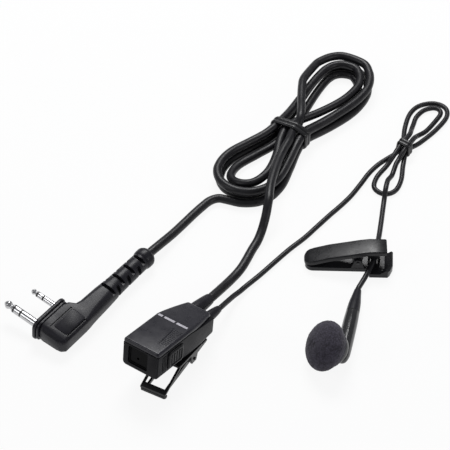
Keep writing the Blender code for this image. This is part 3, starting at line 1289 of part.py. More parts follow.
def make_foam(finish):
    radius = FOAM_DIAMETER / 2.0
    mouth = FOAM_MOUTH / 2.0
    inside = SHELL_DIAMETER / 2.0 + GAP
    front = SHELL_LIP + GAP + 1.6 * GRILLE_THICKNESS + GAP
    back = -SHELL_DEPTH - 2.0 * GAP
    profile = [(0.0, front), (inside, front), (inside, back), (mouth, back - 0.3 * MM),
               (mouth, -FOAM_BACK + 0.5 * MM), (mouth + 0.6 * MM, -FOAM_BACK)]
    for i in range(1, 9):
        angle = math.radians(-42.0 + 132.0 * i / 8)
        height = FOAM_FRONT if angle > 0 else FOAM_BACK + 1.2 * MM
        profile.append((radius * math.cos(angle) if i < 8 else 0.0, height * math.sin(angle)))
    add("foam_pad", turned(profile, 24), finish, earphone_frame())


# ---------------------------------------------------------------- printed facts
def report_joint(name, pivot, axis):
    spot = [round(value, 6) for value in pivot.translation]
    way = [round(value, 6) for value in axis.normalized()]
    print(f"joint {name}: pos {spot} axis {way}")


def report_gap(name, points, diameter):
    """Least gap of a winding to itself, measured on points along it."""
    spots = smooth_points([tuple(p) for p in points], diameter / 3.0)
    run = np.concatenate([[0.0], np.cumsum(np.linalg.norm(np.diff(spots, axis=0), axis=1))])
    away = np.linalg.norm(spots[:, None, :] - spots[None, :, :], axis=2)
    away[np.abs(run[:, None] - run[None, :]) < 3.2 * diameter] = 1.0
    gap = 1000.0 * (away.min() - diameter)
    print(f"{name}: {run[-1] * 1000:.1f} mm long, least gap to itself {gap:.2f} mm")


def main():
    clear_scene()
    finishes = make_materials()
    make_top_cover(finishes["case"])
    make_lower_shell(finishes["case"])
    make_front_grille(finishes["case"])
    make_capsule(finishes)
    make_board_and_switch(finishes)
    make_ptt_button(finishes["button"])
    make_screws(finishes["steel"])
    moulded = finishes["moulded"]
    make_boot("main_cord_boot", MAIN_BOOT_ACROSS, MAIN_BOOT_DIAMETER, MAIN_BOOT_LENGTH, MAIN_CORD, moulded)
    make_boot("thin_cord_boot", THIN_BOOT_ACROSS, THIN_BOOT_DIAMETER, THIN_BOOT_LENGTH, THIN_CORD, moulded)
    make_clip_base(finishes["steel"])
    make_clip_rivet(finishes["steel"])
    make_clip_jaw(finishes["steel"])
    make_clip_pin_and_spring(finishes)
    make_plug_head(finishes["moulded"])
    make_plug_flange(finishes["moulded"])
    make_jack_pin("large_pin", LARGE_PIN, 0.0, finishes)
    make_jack_pin("small_pin", SMALL_PIN, PIN_SPACING, finishes)
    make_plug_relief(finishes["moulded"])
    make_cords(finishes)
    make_cord_clip_base(finishes["case"])
    make_cord_clip_lever(finishes["case"])
    make_cord_clip_pin_and_spring(finishes)
    make_earphone_shell(finishes["case"])
    make_earphone_boot(finishes["moulded"])
    make_driver_and_grille(finishes)
    make_foam(finishes["foam"])
    report_joint("clip_swivel", CLIP, CLIP.to_3x3() @ Vector((0.0, 0.0, 1.0)))


main()
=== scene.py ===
"""Looks of a tie-clip microphone and earphone set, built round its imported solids.

+Z is up, in the frame of the solids. Lengths are in millimetres unless a comment says metres:
loft, make, soften, cord_along and bumped turn them into metres. A layout point is counted from
ORIGIN, and (0, 0) is the middle of the picture. MIC, CLIP, PLUG, CORD_CLIP, EARPHONE, STEM and
RELIEF are the frames of the groups of pieces, and a group's sizes are in its own frame.
"""

import json
import math

import bmesh
import bpy
import numpy as np
from mathutils import Matrix, Vector

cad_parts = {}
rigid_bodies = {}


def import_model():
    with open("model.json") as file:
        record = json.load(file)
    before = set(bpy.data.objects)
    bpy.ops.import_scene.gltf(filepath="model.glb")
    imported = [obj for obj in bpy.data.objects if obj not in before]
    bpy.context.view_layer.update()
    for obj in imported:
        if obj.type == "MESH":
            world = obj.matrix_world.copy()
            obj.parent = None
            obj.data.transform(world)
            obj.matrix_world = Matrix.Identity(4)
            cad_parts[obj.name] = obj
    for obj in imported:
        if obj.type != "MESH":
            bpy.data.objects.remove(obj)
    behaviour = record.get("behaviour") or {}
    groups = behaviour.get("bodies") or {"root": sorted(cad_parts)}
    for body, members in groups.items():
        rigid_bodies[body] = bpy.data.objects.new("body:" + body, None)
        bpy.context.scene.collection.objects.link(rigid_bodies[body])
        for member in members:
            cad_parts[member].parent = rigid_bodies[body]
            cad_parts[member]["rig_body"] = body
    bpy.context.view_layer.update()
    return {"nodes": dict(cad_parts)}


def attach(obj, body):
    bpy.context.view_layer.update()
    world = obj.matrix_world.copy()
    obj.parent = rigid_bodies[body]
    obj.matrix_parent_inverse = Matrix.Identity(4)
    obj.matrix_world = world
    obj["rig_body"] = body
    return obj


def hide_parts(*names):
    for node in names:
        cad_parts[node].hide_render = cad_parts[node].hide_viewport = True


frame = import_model()

MM = 0.001
GAP = 0.3
ORIGIN = (8.3, -68.9)
ROUND = 56  # sides of a round piece
SHARP = 32.0  # degrees from which an edge is shaded sharp

# Camera, in metres and degrees
CAMERA_TARGET = (-0.0083, 0.0689, 0.0)
CAMERA_DISTANCE = 0.6884
CAMERA_ELEVATION = 45.0
CAMERA_FIELD = 16.0  # across the picture

# Light, in metres and watts: a lamp's place, what it looks at, its size and its power
LAMPS = {
    "top_softbox": ((0.0, 0.58, 0.74), (0.0, 0.05, 0.0), (0.5, 0.3), 6.2),
    "left_softbox": ((-0.75, -0.25, 0.55), (-0.01, 0.02, 0.0), (0.3, 0.3), 1.2),
    "right_softbox": ((0.75, -0.30, 0.40), (0.0, 0.02, 0.0), (0.25, 0.25), 1.2),
}
ROOM_COLOUR = (0.97, 0.98, 1.0)
ROOM_STRENGTH = 0.26
TABLE_COLOUR = (0.86, 0.86, 0.87)
TABLE_GLOW = 0.90  # share of pure white that hides the shadow
TABLE_SIZE = 8.0  # half of its width, metres

# Microphone case
MIC_WIDTH = 17.0
MIC_LENGTH = 38.0
MIC_HEIGHT = 12.6
MIC_REAR_HEIGHT = 9.9
MIC_REAR_WIDTH = 14.8
LID_REAR_WIDTH = 11.4
BEND_LENGTH = 21.0
LID_THICKNESS = 1.8
WALL = 1.2
FLOOR = 1.4
CASE_ROUND = 1.6
LID_ROUND = 1.1
EDGE = 0.5
LID_EDGE = 0.9
PANEL = (-5.7, 3.3, 2.0, 10.0)  # left, right, low and high on the front
PANEL_RECESS = 0.45
PANEL_LIP = 0.3
PANEL_RIM = 0.55
SOUND_HOLE = 1.1
SOUND_HOLE_PLACE = (-1.5, 0.0, 5.2)
BUTTON = (6.2, 15.6, 2.0, 9.6)  # start, end, low and high on the side
BUTTON_PROUD = 0.9
BUTTON_ROUND = 1.3
SCREW_HEAD = 2.8
SCREW_PLACES = ((5.2, 3.4), (0.0, 32.0))
SIDE_RIBS = (3.1, 3.95, 4.8)  # where the ribs before the button start
BUTTON_RIBS = (2.0, 3.6, 5.2, 6.8)  # where its ribs start, from its own start
LID_RIBS = 11
LID_RIB_START = 6.4
LID_BEAD = [(3.9, 5.4), (3.8, 8.0), (3.3, 12.5), (2.6, 17.6)]
BEAD_RADIUS = 0.3
STRIPE = (19.8, 20.95)  # from and to along the case
STRIPE_BARS = ((-7.3, -5.2), (-4.3, 0.7), (1.7, 6.9))  # from and to across it

# Cord boots of the case
MAIN_BOOT = {"across": -3.4, "diameter": 6.0, "length": 12.0}
THIN_BOOT = {"across": 3.4, "diameter": 4.4, "length": 9.0}
BOOT_HEIGHT = 5.4

# Microphone clip
CLIP_WIDTH = 11.2
CLIP_PLACE = (2.9, 24.0)
CLIP_TURN = 7.0
PIN_DROP = 3.9
PIN_DIAMETER = 1.2
SPRING_WIRE = 0.5
SPRING_PITCH = 0.96
SPRING_TURNS = 4

# Plug
PIN_SPACING = 11.7
LARGE_PIN = {"diameter": 3.5, "sleeve": 8.7, "ring": 12.2, "length": 17.9}
SMALL_PIN = {"diameter": 2.5, "sleeve": 7.1, "ring": 10.1, "length": 13.9}
INSULATOR = 0.7
FLANGE_LENGTH = 19.0
FLANGE_HEIGHT = 11.0
FLANGE_DEPTH = 1.45
FLANGE_ROUND = 3.2
RIDGE_DEPTH = 0.95
HEAD_LENGTH = 18.8
HEAD_DEPTH = 15.4
HEAD_FRONT_HEIGHT = 9.8
HEAD_REAR_HEIGHT = 7.6
NECK_LENGTH = 20.4
RELIEF_LENGTH = 22.2
RELIEF_DIAMETER = 8.5
RELIEF_ACROSS = -10.0
COLLAR_LENGTH = 5.4
SLOT_WIDTH = 1.7
SLOT_DEPTH = 2.0
SLOT_STEP = 3.4
SLOT_START = 1.2
HEAD_PANEL = (-13.6, -6.6, 1.0, 12.8)  # x from and to, then along the cord
# The tip of a pin, as shares of its radius and of its length
PIN_TIP = [(1.0, 0.0), (0.93, 0.1), (0.62, 0.27), (0.7, 0.38), (0.98, 0.56), (0.9, 0.72), (0.55, 0.9),
           (0.22, 1.0)]

# Cords, with their real lengths from end to end in metres
MAIN_CORD = 3.9
THIN_CORD = 2.25

# Main hank, in its own frame: the outline of a loop, anticlockwise from its top, as along and across,
# its winding as rounds and how far outside the outline, and its climb as rounds and the layer.
MAIN_HANK = {
    "waist": (29.6, 53.4),
    "heading": 56.0,
    "layer": 4.46,
    "lift": 1.2,
    "ease": 0.04,
    "outline": [
        (51.2, 0.6), (48.4, 5.0), (42.4, 6.2), (33.0, 5.6), (20.0, 3.6), (8.0, 1.8), (0.0, 1.3), (-8.0, 2.4),
        (-18.0, 5.8), (-28.0, 8.8), (-34.9, 8.2), (-38.4, 5.6), (-39.4, 1.6), (-38.2, -2.4), (-34.9, -5.0),
        (-28.0, -6.0), (-18.0, -3.9), (-8.0, -0.6), (0.0, 0.9), (8.0, 0.0), (20.0, -3.2), (33.0, -5.8),
        (42.8, -5.8), (48.2, -3.4),
    ],
    "winding": [
        (0.515, 9.6), (0.57, 7.2), (0.622, 6.2), (0.714, 7.4), (0.817, 8.1), (0.883, 9.0), (0.933, 8.2),
        (1.0, 6.8), (1.057, 5.9), (1.17, 5.5), (1.271, 5.45), (1.365, 5.6), (1.453, 5.5), (1.5, 5.0),
        (1.57, 2.9), (1.622, 1.7), (1.714, 2.9), (1.817, 3.4), (1.883, 4.3), (1.933, 3.6), (2.0, 2.2),
        (2.057, 1.3), (2.17, 1.0), (2.271, 1.0), (2.365, 1.0), (2.43, 0.7), (2.47, 0.4), (2.53, 0.2),
        (2.57, 0.1), (2.622, 0.0), (2.66, -0.5), (2.714, -1.6), (2.765, -0.4), (2.817, 1.3),
        (2.883, 3.0), (2.933, 3.4), (3.0, 3.9), (3.057, 3.5), (3.17, 4.6), (3.271, 5.7), (3.365, 5.6),
        (3.453, 6.2), (3.5, 6.8), (3.57, 6.0), (3.622, 5.7), (3.66, 6.4), (3.714, 7.7), (3.817, 7.6),
        (3.883, 7.7), (3.933, 8.2), (4.0, 8.4), (4.057, 7.8),
    ],
    "climb": [(0.515, 0.0), (2.43, 0.0), (2.47, 0.25), (2.53, 0.95), (2.57, 1.0), (3.933, 1.0), (4.0, 1.2),
              (4.057, 1.6)],
}
# Thin hank, in its own frame: its route as along, across and layer
THIN_HANK = {
    "waist": (80.4, 45.4),
    "heading": 58.0,
    "layer": 3.2,
    "lift": 1.2,
    "route": [
        (-5.4, 2.7, 0.1), (0.0, 1.5, 0.0), (7.0, 3.9, 0.0), (15.0, 7.2, 0.0), (24.0, 9.5, 0.0),
        (31.0, 8.8, 0.0), (36.0, 4.9, 0.0), (37.5, 0.4, 0.0), (35.8, -3.6, 0.0), (30.4, -5.9, 0.0),
        (20.0, -5.5, 0.0), (9.0, -3.4, 0.0), (0.0, -1.5, 0.0), (-8.0, -3.8, 0.0), (-17.0, -7.5, 0.0),
        (-24.0, -8.6, 0.0), (-28.2, -6.6, 0.0), (-29.2, -3.2, 0.0), (-27.2, 0.6, 0.0), (-21.0, 2.4, 0.0),
        (-13.0, 1.9, 0.2), (-8.5, 1.4, 0.8), (-4.0, 1.4, 1.0), (0.0, 1.5, 1.0), (4.0, 1.5, 1.0),
        (9.0, 1.9, 0.9), (14.0, 3.5, 0.3), (19.0, 4.9, 0.0), (24.0, 6.0, 0.0), (29.8, 5.3, 0.0),
        (33.6, 2.6, 0.0), (34.3, -0.2, 0.0), (32.2, -2.3, 0.0), (27.4, -2.7, 0.0), (18.0, -2.2, 0.0),
        (12.0, -0.6, 0.2), (8.0, -0.9, 0.8), (4.0, -1.4, 1.0), (0.0, -1.5, 1.0), (-4.0, -1.4, 1.0),
        (-8.0, -1.4, 0.65), (-11.0, -1.6, 0.5),
    ],
}
# Routes of the free cords, layout millimetres
PLUG_ROUTE = [
    (-26.8, -14.8, 3.95), (-22.3, -8.4, 2.95), (-17.7, -1.5, 2.25), (-13.4, 4.6, 2.1), (-9.8, 9.2, 2.1),
    (-6.6, 12.7, 2.1), (-2.9, 14.3, 2.1), (0.9, 13.4, 2.1),
]
MIC_ROUTE = [
    (36.6, 85.5, 10.7), (35.5, 79.6, 11.1), (35.0, 73.3, 11.1), (34.7, 67.4, 11.2), (34.5, 62.1, 11.5),
    (34.0, 57.7, 11.3), (33.1, 54.7, 9.7), (31.6, 52.1, 8.7), (30.0, 49.5, 9.0), (28.5, 43.5, 9.8),
    (26.1, 37.7, 10.0), (24.2, 32.4, 10.1), (22.6, 26.8, 10.5), (21.3, 21.3, 10.9), (20.1, 16.0, 11.1),
    (19.3, 10.8, 11.2), (18.8, 5.5, 10.9), (18.3, 2.6, 9.9), (17.7, -0.4, 8.1), (16.8, -3.6, 5.9),
    (15.5, -7.6, 3.8), (13.7, -12.2, 2.5), (11.4, -16.9, 2.1), (7.0, -27.2, 2.15), (2.2, -35.0, 2.65),
]
THIN_MIC_ROUTE = [
    (3.4, -44.6, 3.4), (6.0, -41.0, 2.3), (8.6, -37.4, 1.6), (14.8, -30.4, 1.3), (21.0, -23.0, 1.2),
    (27.4, -15.6, 1.2), (33.8, -9.0, 1.2), (39.6, -2.0, 1.2), (45.2, 4.8, 1.2), (50.4, 10.8, 1.2),
    (55.2, 17.0, 1.2), (59.8, 24.4, 1.2), (64.0, 31.4, 1.25), (68.8, 36.9, 1.65),
]
EAR_ROUTE = [
    (74.0, 30.0, 1.5), (72.6, 26.8, 2.5), (71.4, 23.6, 4.0), (70.6, 20.4, 4.5), (69.9, 17.2, 4.1),
    (69.2, 13.2, 2.2), (68.3, 8.0, 1.4), (67.2, 1.2, 1.4), (65.6, -8.0, 1.5), (64.4, -14.0, 2.6),
    (63.2, -19.0, 3.5), (62.3, -23.4, 3.6), (61.0, -27.2, 3.6), (59.6, -30.4, 3.5), (57.7, -34.0, 2.8),
]
WAIST_REACH = 9.0  # layout millimetres along a hank that its tie lifts
THIN_WAIST_REACH = 5.0
LIFT_OFF = 0.05  # layout millimetres between the table and a winding
TIE_THICKNESS = 0.8
TIE_SWAY = 0.35
MAIN_TIE = {"width": 4.4, "left": 10.3, "right": 10.0}
THIN_TIE = {"width": 4.0, "left": 4.1, "right": 4.1}

# Where the microphone and the plug lie, layout millimetres and degrees
MIC_PLACE = (-32.9, -91.3, 11.4)
MIC_HEADING = -36.3
MIC_PITCH = -11.5
MIC_ROLL = -3.0
PLUG_PLACE = (-74.4, -62.5, 5.75)
PLUG_HEADING = 143.5
PLUG_ROLL = -6.5

# Cord clip
CORD_CLIP_PLACE = (33.0, -22.6)
CORD_CLIP_TURN = -1.8
CORD_CLIP_WIDTH = 8.6
CORD_CLIP_LENGTH = 34.2
CORD_CLIP_BASE = 2.0
CORD_CLIP_PIVOT = 22.4
CORD_CLIP_PIN_HEIGHT = 4.9
CORD_CLIP_PIN = 1.4
CORD_CLIP_PLATE = 2.0
CORD_CLIP_TIP_HEIGHT = 4.3
CORD_CLIP_BEND = (21.0, 10.1)
CORD_CLIP_END_HEIGHT = 11.5
CORD_CLIP_EAR = 0.9
HANDLE_START = 27.2
HANDLE_END = 37.4
HANDLE_NARROW = 1.8
HANDLE_FRONT = 7.5
HANDLE_RISE = 3.9
CORD_LOOP_PLACE = 29.3
CORD_LOOP_LENGTH = 2.4
CORD_LOOP_WALL = 0.8
CORD_SPRING_WIRE = 0.6

# Earphone
EARPHONE_PLACE = (39.3, -76.5, 9.45)
FACE = (-0.862, -0.101, 0.497)
STEM_END = (54.6, -40.6, 2.6)
FOAM_DIAMETER = 20.3
FOAM_FRONT = 6.6
FOAM_BACK = 5.2
FOAM_MOUTH = 13.2
SHELL_DIAMETER = 15.6
SHELL_DEPTH = 2.9
SHELL_LIP = 1.5
SHELL_WALL = 1.1
SHELL_NECK = 12.2
SHELL_BACK = 8.8
STEM_DIAMETER = 6.0
STEM_DROP = 8.6
STEM_OVER = 6.0
STEM_SHARE = 0.62
EAR_BOOT_TIP = 2.9


# ---------------------------------------------------------------- places
def layout(x, y, z=0.0):
    return Vector((x - ORIGIN[0], y - ORIGIN[1], z))


def placed(location, *turns):
    """Matrix at a location, with (degrees, axis) turns applied left to right."""
    matrix = Matrix.Translation(location)
    for degrees, axis in turns:
        matrix = matrix @ Matrix.Rotation(math.radians(degrees), 4, axis)
    return matrix


def aimed(location, forward, up):
    """Matrix whose Z runs along forward, with up as near Y as it can be."""
    z = Vector(forward).normalized()
    x = Vector(up).cross(z).normalized()
    matrix = Matrix((x, z.cross(x), z)).transposed().to_4x4()
    matrix.translation = location
    return matrix


def metric(place):
    """A matrix in millimetres as one in metres."""
    matrix = place.copy()
    matrix.translation = place.translation * MM
    return matrix


ALONG_Y = Matrix.Rotation(math.radians(-90.0), 4, "X")
ALONG_X = Matrix.Rotation(math.radians(90.0), 4, "Y")
QUARTER = Matrix.Rotation(math.radians(90.0), 4, "Z")
MIC = placed(layout(*MIC_PLACE), (MIC_HEADING, "Z"), (MIC_PITCH, "X"), (MIC_ROLL, "Y"))
PLUG = placed(layout(*PLUG_PLACE), (PLUG_HEADING, "Z"), (PLUG_ROLL, "Y"))
CLIP = MIC @ placed((*CLIP_PLACE, 0.0), (CLIP_TURN, "Z"))
CORD_CLIP = placed(layout(*CORD_CLIP_PLACE), (CORD_CLIP_TURN, "Z"))
CORD_CLIP_AXIS = CORD_CLIP @ placed((CORD_CLIP_PIVOT, 0.0, CORD_CLIP_PIN_HEIGHT))
EARPHONE = aimed(layout(*EARPHONE_PLACE), FACE, (0.0, 1.0, 0.0))
STEM_START = EARPHONE @ Vector((0.0, 0.0, -STEM_DROP))
STEM = aimed(STEM_START, layout(*STEM_END) - STEM_START, (0.0, 0.0, 1.0))
STEM_TOTAL = (layout(*STEM_END) - STEM_START).length
RELIEF = PLUG @ placed((RELIEF_ACROSS, 0.0, 0.0), (90.0, "X"))


# ---------------------------------------------------------------- shapes
def bridge(shape, low, high):
    """Faces between two rows of vertices, of which one may be a single pole."""
    count = max(len(low), len(high))
    for i in range(count):
        j = (i + 1) % count
        if len(low) == 1:
            shape.faces.new((low[0], high[j], high[i]))
        elif len(high) == 1:
            shape.faces.new((low[i], low[j], high[0]))
        else:
            shape.faces.new((low[i], low[j], high[j], high[i]))


def loft(rings, closed=False):
    """Rings of as many points each, bridged, with a flat face at each end unless closed."""
    shape = bmesh.new()
    rows = [[shape.verts.new([length * MM for length in point]) for point in ring] for ring in rings]
    for low, high in zip(rows, rows[1:]):
        bridge(shape, low, high)
    if closed:
        bridge(shape, rows[-1], rows[0])
        return shape
    if len(rows[0]) > 1:
        shape.faces.new(list(reversed(rows[0])))
    if len(rows[-1]) > 1:
        shape.faces.new(rows[-1])
    return shape


def ring_at(spot, outline, axis):
    """A flat outline as a ring at a spot on an axis. X takes (y, z) points, Y (x, z), Z (x, y)."""
    if axis == "X":
        return [(spot, a, b) for a, b in outline]
    if axis == "Y":
        return [(a, spot, b) for a, b in outline]
    return [(a, b, spot) for a, b in outline]


def stacked(sections, axis):
    """A loft through (spot, outline) sections along an axis."""
    return loft([ring_at(spot, outline, axis) for spot, outline in sections])


def prism(outline, low, high, axis="Z"):
    return stacked([(low, outline), (high, outline)], axis)


def box(low, high):
    corners = [(low[0], low[1]), (high[0], low[1]), (high[0], high[1]), (low[0], high[1])]
    return prism(corners, low[2], high[2])


def rounded(left, right, low, high, radii, steps=6):
    """Rounded rectangle, anticlockwise from its lower left corner, with a radius for each corner."""
    if not isinstance(radii, tuple):
        radii = (radii,) * 4
    corners = [(left, low, 1, 1), (right, low, -1, 1), (right, high, -1, -1), (left, high, 1, -1)]
    points = []
    for k, ((x, y, to_x, to_y), radius) in enumerate(zip(corners, radii)):
        for i in range(steps + 1):
            angle = math.radians((180.0 + 90.0 * k) % 360.0 + 90.0 * i / steps)
            points.append((x + to_x * radius + radius * math.cos(angle),
                           y + to_y * radius + radius * math.sin(angle)))
    return points


def grown(sides, grow, radius, steps=6):
    """A rounded rectangle of (left, right, low, high) sides, moved out on all of them."""
    left, right, low, high = sides
    return rounded(left - grow, right + grow, low - grow, high + grow, radius, steps)


def turned(profile, sides=ROUND):
    """A profile of (radius, height) points turned round Z."""
    turns = [2.0 * math.pi * i / sides for i in range(sides)]
    rings = []
    for radius, height in profile:
        ring = [(radius * math.cos(t), radius * math.sin(t), height) for t in turns]
        rings.append(ring if radius > 0.0 else [(0.0, 0.0, height)])
    return loft(rings)


def rod(radius, low, high, sides=32):
    return turned([(radius, low), (radius, high)], sides)


def smooth_points(points, step, closed=False):
    """Points at an even step along a smooth curve through the given ones."""
    spots = [np.array(point, float) for point in points]
    count = len(spots)
    dense = []
    for i in range(count if closed else count - 1):
        p0 = spots[(i - 1) % count] if closed or i > 0 else 2.0 * spots[0] - spots[1]
        p1 = spots[i]
        p2 = spots[(i + 1) % count]
        p3 = spots[(i + 2) % count] if closed or i + 2 < count else 2.0 * spots[-1] - spots[-2]
        for t in np.linspace(0.0, 1.0, 16, endpoint=False):
            dense.append(0.5 * (2.0 * p1 + (p2 - p0) * t + (2.0 * p0 - 5.0 * p1 + 4.0 * p2 - p3) * t**2
                                + (3.0 * p1 - p0 - 3.0 * p2 + p3) * t**3))
    dense.append(spots[0] if closed else spots[-1])
    dense = np.array(dense)
    run = np.concatenate([[0.0], np.cumsum(np.linalg.norm(np.diff(dense, axis=0), axis=1))])
    number = max(2, round(run[-1] / step))
    marks = np.linspace(0.0, run[-1], number + 1)
    return np.stack([np.interp(marks, run, dense[:, k]) for k in range(dense.shape[1])], axis=1)


def soft_profile(profile, step=0.25):
    """A profile of (radius, height) points with smooth runs between them."""
    return [(max(0.0, radius), height) for radius, height in smooth_points(profile, step)]


# ---------------------------------------------------------------- pieces
def add_object(name, data):
    obj = bpy.data.objects.new(name, data)
    bpy.context.scene.collection.objects.link(obj)
    return obj


def outward(shape):
    """Turns the faces of a closed shape outwards."""
    bmesh.ops.recalc_face_normals(shape, faces=shape.faces[:])
    if shape.calc_volume(signed=True) < 0.0:
        bmesh.ops.reverse_faces(shape, faces=shape.faces[:])


def shade(mesh, sharp=SHARP):
    mesh.shade_smooth()
    mesh.set_sharp_from_angle(angle=math.radians(sharp))


def make(name, shape, finish, place, sharp=SHARP):
    """An object from a bmesh at a place, in a finish unless it only helps."""
    mesh = bpy.data.meshes.new(name)
    outward(shape)
    shape.to_mesh(mesh)
    shape.free()
    if finish:
        mesh.materials.append(FINISHES[finish])
    shade(mesh, sharp)
    obj = add_object(name, mesh)
    obj.matrix_world = metric(place)
    return obj


def carve(obj, shape, place=None, operation="DIFFERENCE"):
    """Cuts a shape out of an object, or joins it on, and keeps the result as the object's mesh."""
    helper = make("helper", shape, None, place or Matrix.Identity(4))
    if place is None:
        helper.matrix_world = obj.matrix_world
    modifier = obj.modifiers.new("carve", "BOOLEAN")
    modifier.operation = operation
    modifier.object = helper
    modifier.solver = "EXACT"
    bpy.context.view_layer.update()
    graph = bpy.context.evaluated_depsgraph_get()
    carved = bpy.data.meshes.new_from_object(obj.evaluated_get(graph))
    obj.modifiers.clear()
    old = obj.data
    obj.data = carved
    bpy.data.meshes.remove(old)
    bpy.data.objects.remove(helper)
    shade(carved)


def join_in(obj, shape):
    """Adds a shape to an object's mesh as it is, for small detail that sits in its surface."""
    outward(shape)
    extra = bpy.data.meshes.new("extra")
    shape.to_mesh(extra)
    shape.free()
    both = bmesh.new()
    both.from_mesh(obj.data)
    both.from_mesh(extra)
    both.to_mesh(obj.data)
    both.free()
    bpy.data.meshes.remove(extra)
    shade(obj.data)


def soften(obj, width, segments=3, limit=34.0):
    """Rounds the piece's sharp edges."""
    modifier = obj.modifiers.new("edges", "BEVEL")
    modifier.width = width * MM
    modifier.segments = segments
    modifier.limit_method = "ANGLE"
    modifier.angle_limit = math.radians(limit)
    modifier.harden_normals = True
    return obj


def dress(obj, slot, *nodes):
    """The piece stands for these nodes and rides on their body. The slot is not used."""
    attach(obj, frame["nodes"][nodes[0]]["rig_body"])
    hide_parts(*nodes)
    return obj


def keep(node, finish):
    """A solid that stays as it is, in a better material."""
    mesh = frame["nodes"][node].data
    mesh.materials.clear()
    mesh.materials.append(FINISHES[finish])
    shade(mesh)


def cord_along(name, points, diameter, finish, sides=6):
    curve = bpy.data.curves.new(name, "CURVE")
    curve.dimensions = "3D"
    curve.bevel_depth = diameter * MM / 2.0
    curve.bevel_resolution = sides
    curve.use_fill_caps = True
    curve.twist_mode = "MINIMUM"
    spline = curve.splines.new("POLY")
    spline.points.add(len(points) - 1)
    for spot, point in zip(spline.points, points):
        spot.co = (*[length * MM for length in point], 1.0)
    spline.use_smooth = True
    curve.materials.append(FINISHES[finish])
    return add_object(name, curve)


# ---------------------------------------------------------------- materials
def feed(tree, node, inputs):
    """Sets inputs of a node, each to a value or to another node's output."""
    for name, value in inputs.items():
        if isinstance(value, bpy.types.NodeSocket):
            tree.links.new(value, node.inputs[name])
        else:
            node.inputs[name].default_value = value


def add_node(tree, kind, inputs, output=0, **settings):
    """A new node with these inputs and settings. Gives its output of that name or number."""
    node = tree.nodes.new("ShaderNode" + kind)
    for name, value in settings.items():
        setattr(node, name, value)
    feed(tree, node, inputs)
    return node.outputs[output] if len(node.outputs) else None


def shader(name, colour, roughness, metallic=0.0, specular=0.5):
    """A new finish: the material, its node tree and surface, and the place on the object."""
    material = bpy.data.materials.new(name)
    material.use_nodes = True
    tree = material.node_tree
    surface = tree.nodes["Principled BSDF"]
    feed(tree, surface, {"Base Color": (*colour, 1.0), "Roughness": roughness, "Metallic": metallic,
                         "Specular IOR Level": specular})
    return material, tree, surface, add_node(tree, "TexCoord", {}, "Object")


def noise(tree, place, scale, detail=3.0, roughness=0.55):
    inputs = {"Vector": place, "Scale": scale, "Detail": detail, "Roughness": roughness}
    return add_node(tree, "TexNoise", inputs, "Fac")


def mapped(tree, value, low, high, start=0.3, end=0.7):
    inputs = {"Value": value, "From Min": start, "From Max": end, "To Min": low, "To Max": high}
    return add_node(tree, "MapRange", inputs, "Result")


def mixed(tree, share, colour, first, second):
    """A mix of two strengths of a colour."""
    inputs = {"A": (*[c * first for c in colour], 1.0), "B": (*[c * second for c in colour], 1.0),
              "Factor": share}
    return add_node(tree, "Mix", inputs, "Result", data_type="RGBA")


def tinted(tree, value, colour, spread):
    """A colour that swings to both sides of the given one."""
    return mixed(tree, mapped(tree, value, 0.0, 1.0), colour, 1.0 - spread, 1.0 + spread)


def bumped(tree, height, strength, depth, surface, under=None):
    inputs = {"Strength": strength, "Distance": depth * MM, "Height": height}
    if under is not None:
        inputs["Normal"] = under
    normal = add_node(tree, "Bump", inputs, "Normal")
    feed(tree, surface, {"Normal": normal})
    return normal


def moulded(name, colour, roughness, grain, depth, mottle=0.16, specular=0.35):
    """Moulded plastic or rubber: a fine grain, and colour and gloss that vary a little."""
    material, tree, surface, place = shader(name, colour, roughness, 0.0, specular)
    broad = noise(tree, place, 260.0, 4.0)
    fine = noise(tree, place, grain, 2.0)
    feed(tree, surface, {"Base Color": tinted(tree, broad, colour, mottle),
                         "Roughness": mapped(tree, broad, roughness - 0.05, roughness + 0.07)})
    under = bumped(tree, fine, 0.5, depth, surface)
    bumped(tree, broad, 0.25, 2.0 * depth, surface, under)
    return material


def metal(name, colour, roughness, grain, depth, stretch, metallic=1.0, specular=0.5):
    """Metal or coated metal with a fine grain, stretched along one of its axes."""
    material, tree, surface, place = shader(name, colour, roughness, metallic, specular)
    along = add_node(tree, "Mapping", {"Scale": stretch, "Vector": place}, "Vector")
    fine = noise(tree, along, grain)
    broad = noise(tree, place, 400.0)
    feed(tree, surface, {"Base Color": tinted(tree, broad, colour, 0.08),
                         "Roughness": mapped(tree, fine, roughness - 0.04, roughness + 0.08)})
    bumped(tree, fine, 0.4, depth, surface)
    return material


def foam_material():
    """Open foam: small cells with painted shade that darkens their pits, and a soft edge."""
    colour = (0.050, 0.045, 0.063)
    material, tree, surface, place = shader("foam_cells", colour, 0.92, 0.0, 0.15)
    cells = add_node(tree, "TexVoronoi", {"Scale": 1700.0, "Vector": place}, "Distance")
    cloud = noise(tree, place, 500.0, 5.0, 0.65)
    pits = add_node(tree, "Math", {0: cells, 1: 0.55, 2: cloud}, "Value", operation="MULTIPLY_ADD")
    # painted shade: the colour is darker the deeper the pit
    shaded = mixed(tree, mapped(tree, pits, 0.0, 1.0, 0.45, 1.0), colour, 1.35, 0.45)
    feed(tree, surface, {"Base Color": shaded, "Sheen Weight": 0.12, "Sheen Roughness": 0.6})
    bumped(tree, pits, 0.8, -0.25, surface)
    return material


def board_material():
    """Solder mask with tracks."""
    material, tree, surface, place = shader("solder_mask", (0.012, 0.09, 0.03), 0.35)
    inputs = {"Color1": (0.010, 0.085, 0.028, 1.0), "Color2": (0.016, 0.11, 0.04, 1.0),
              "Mortar": (0.05, 0.2, 0.08, 1.0), "Scale": 700.0, "Vector": place}
    tracks = add_node(tree, "TexBrick", inputs, "Color")
    feed(tree, surface, {"Base Color": tracks})
    bumped(tree, tracks.node.outputs["Fac"], 0.3, 0.03, surface)
    return material


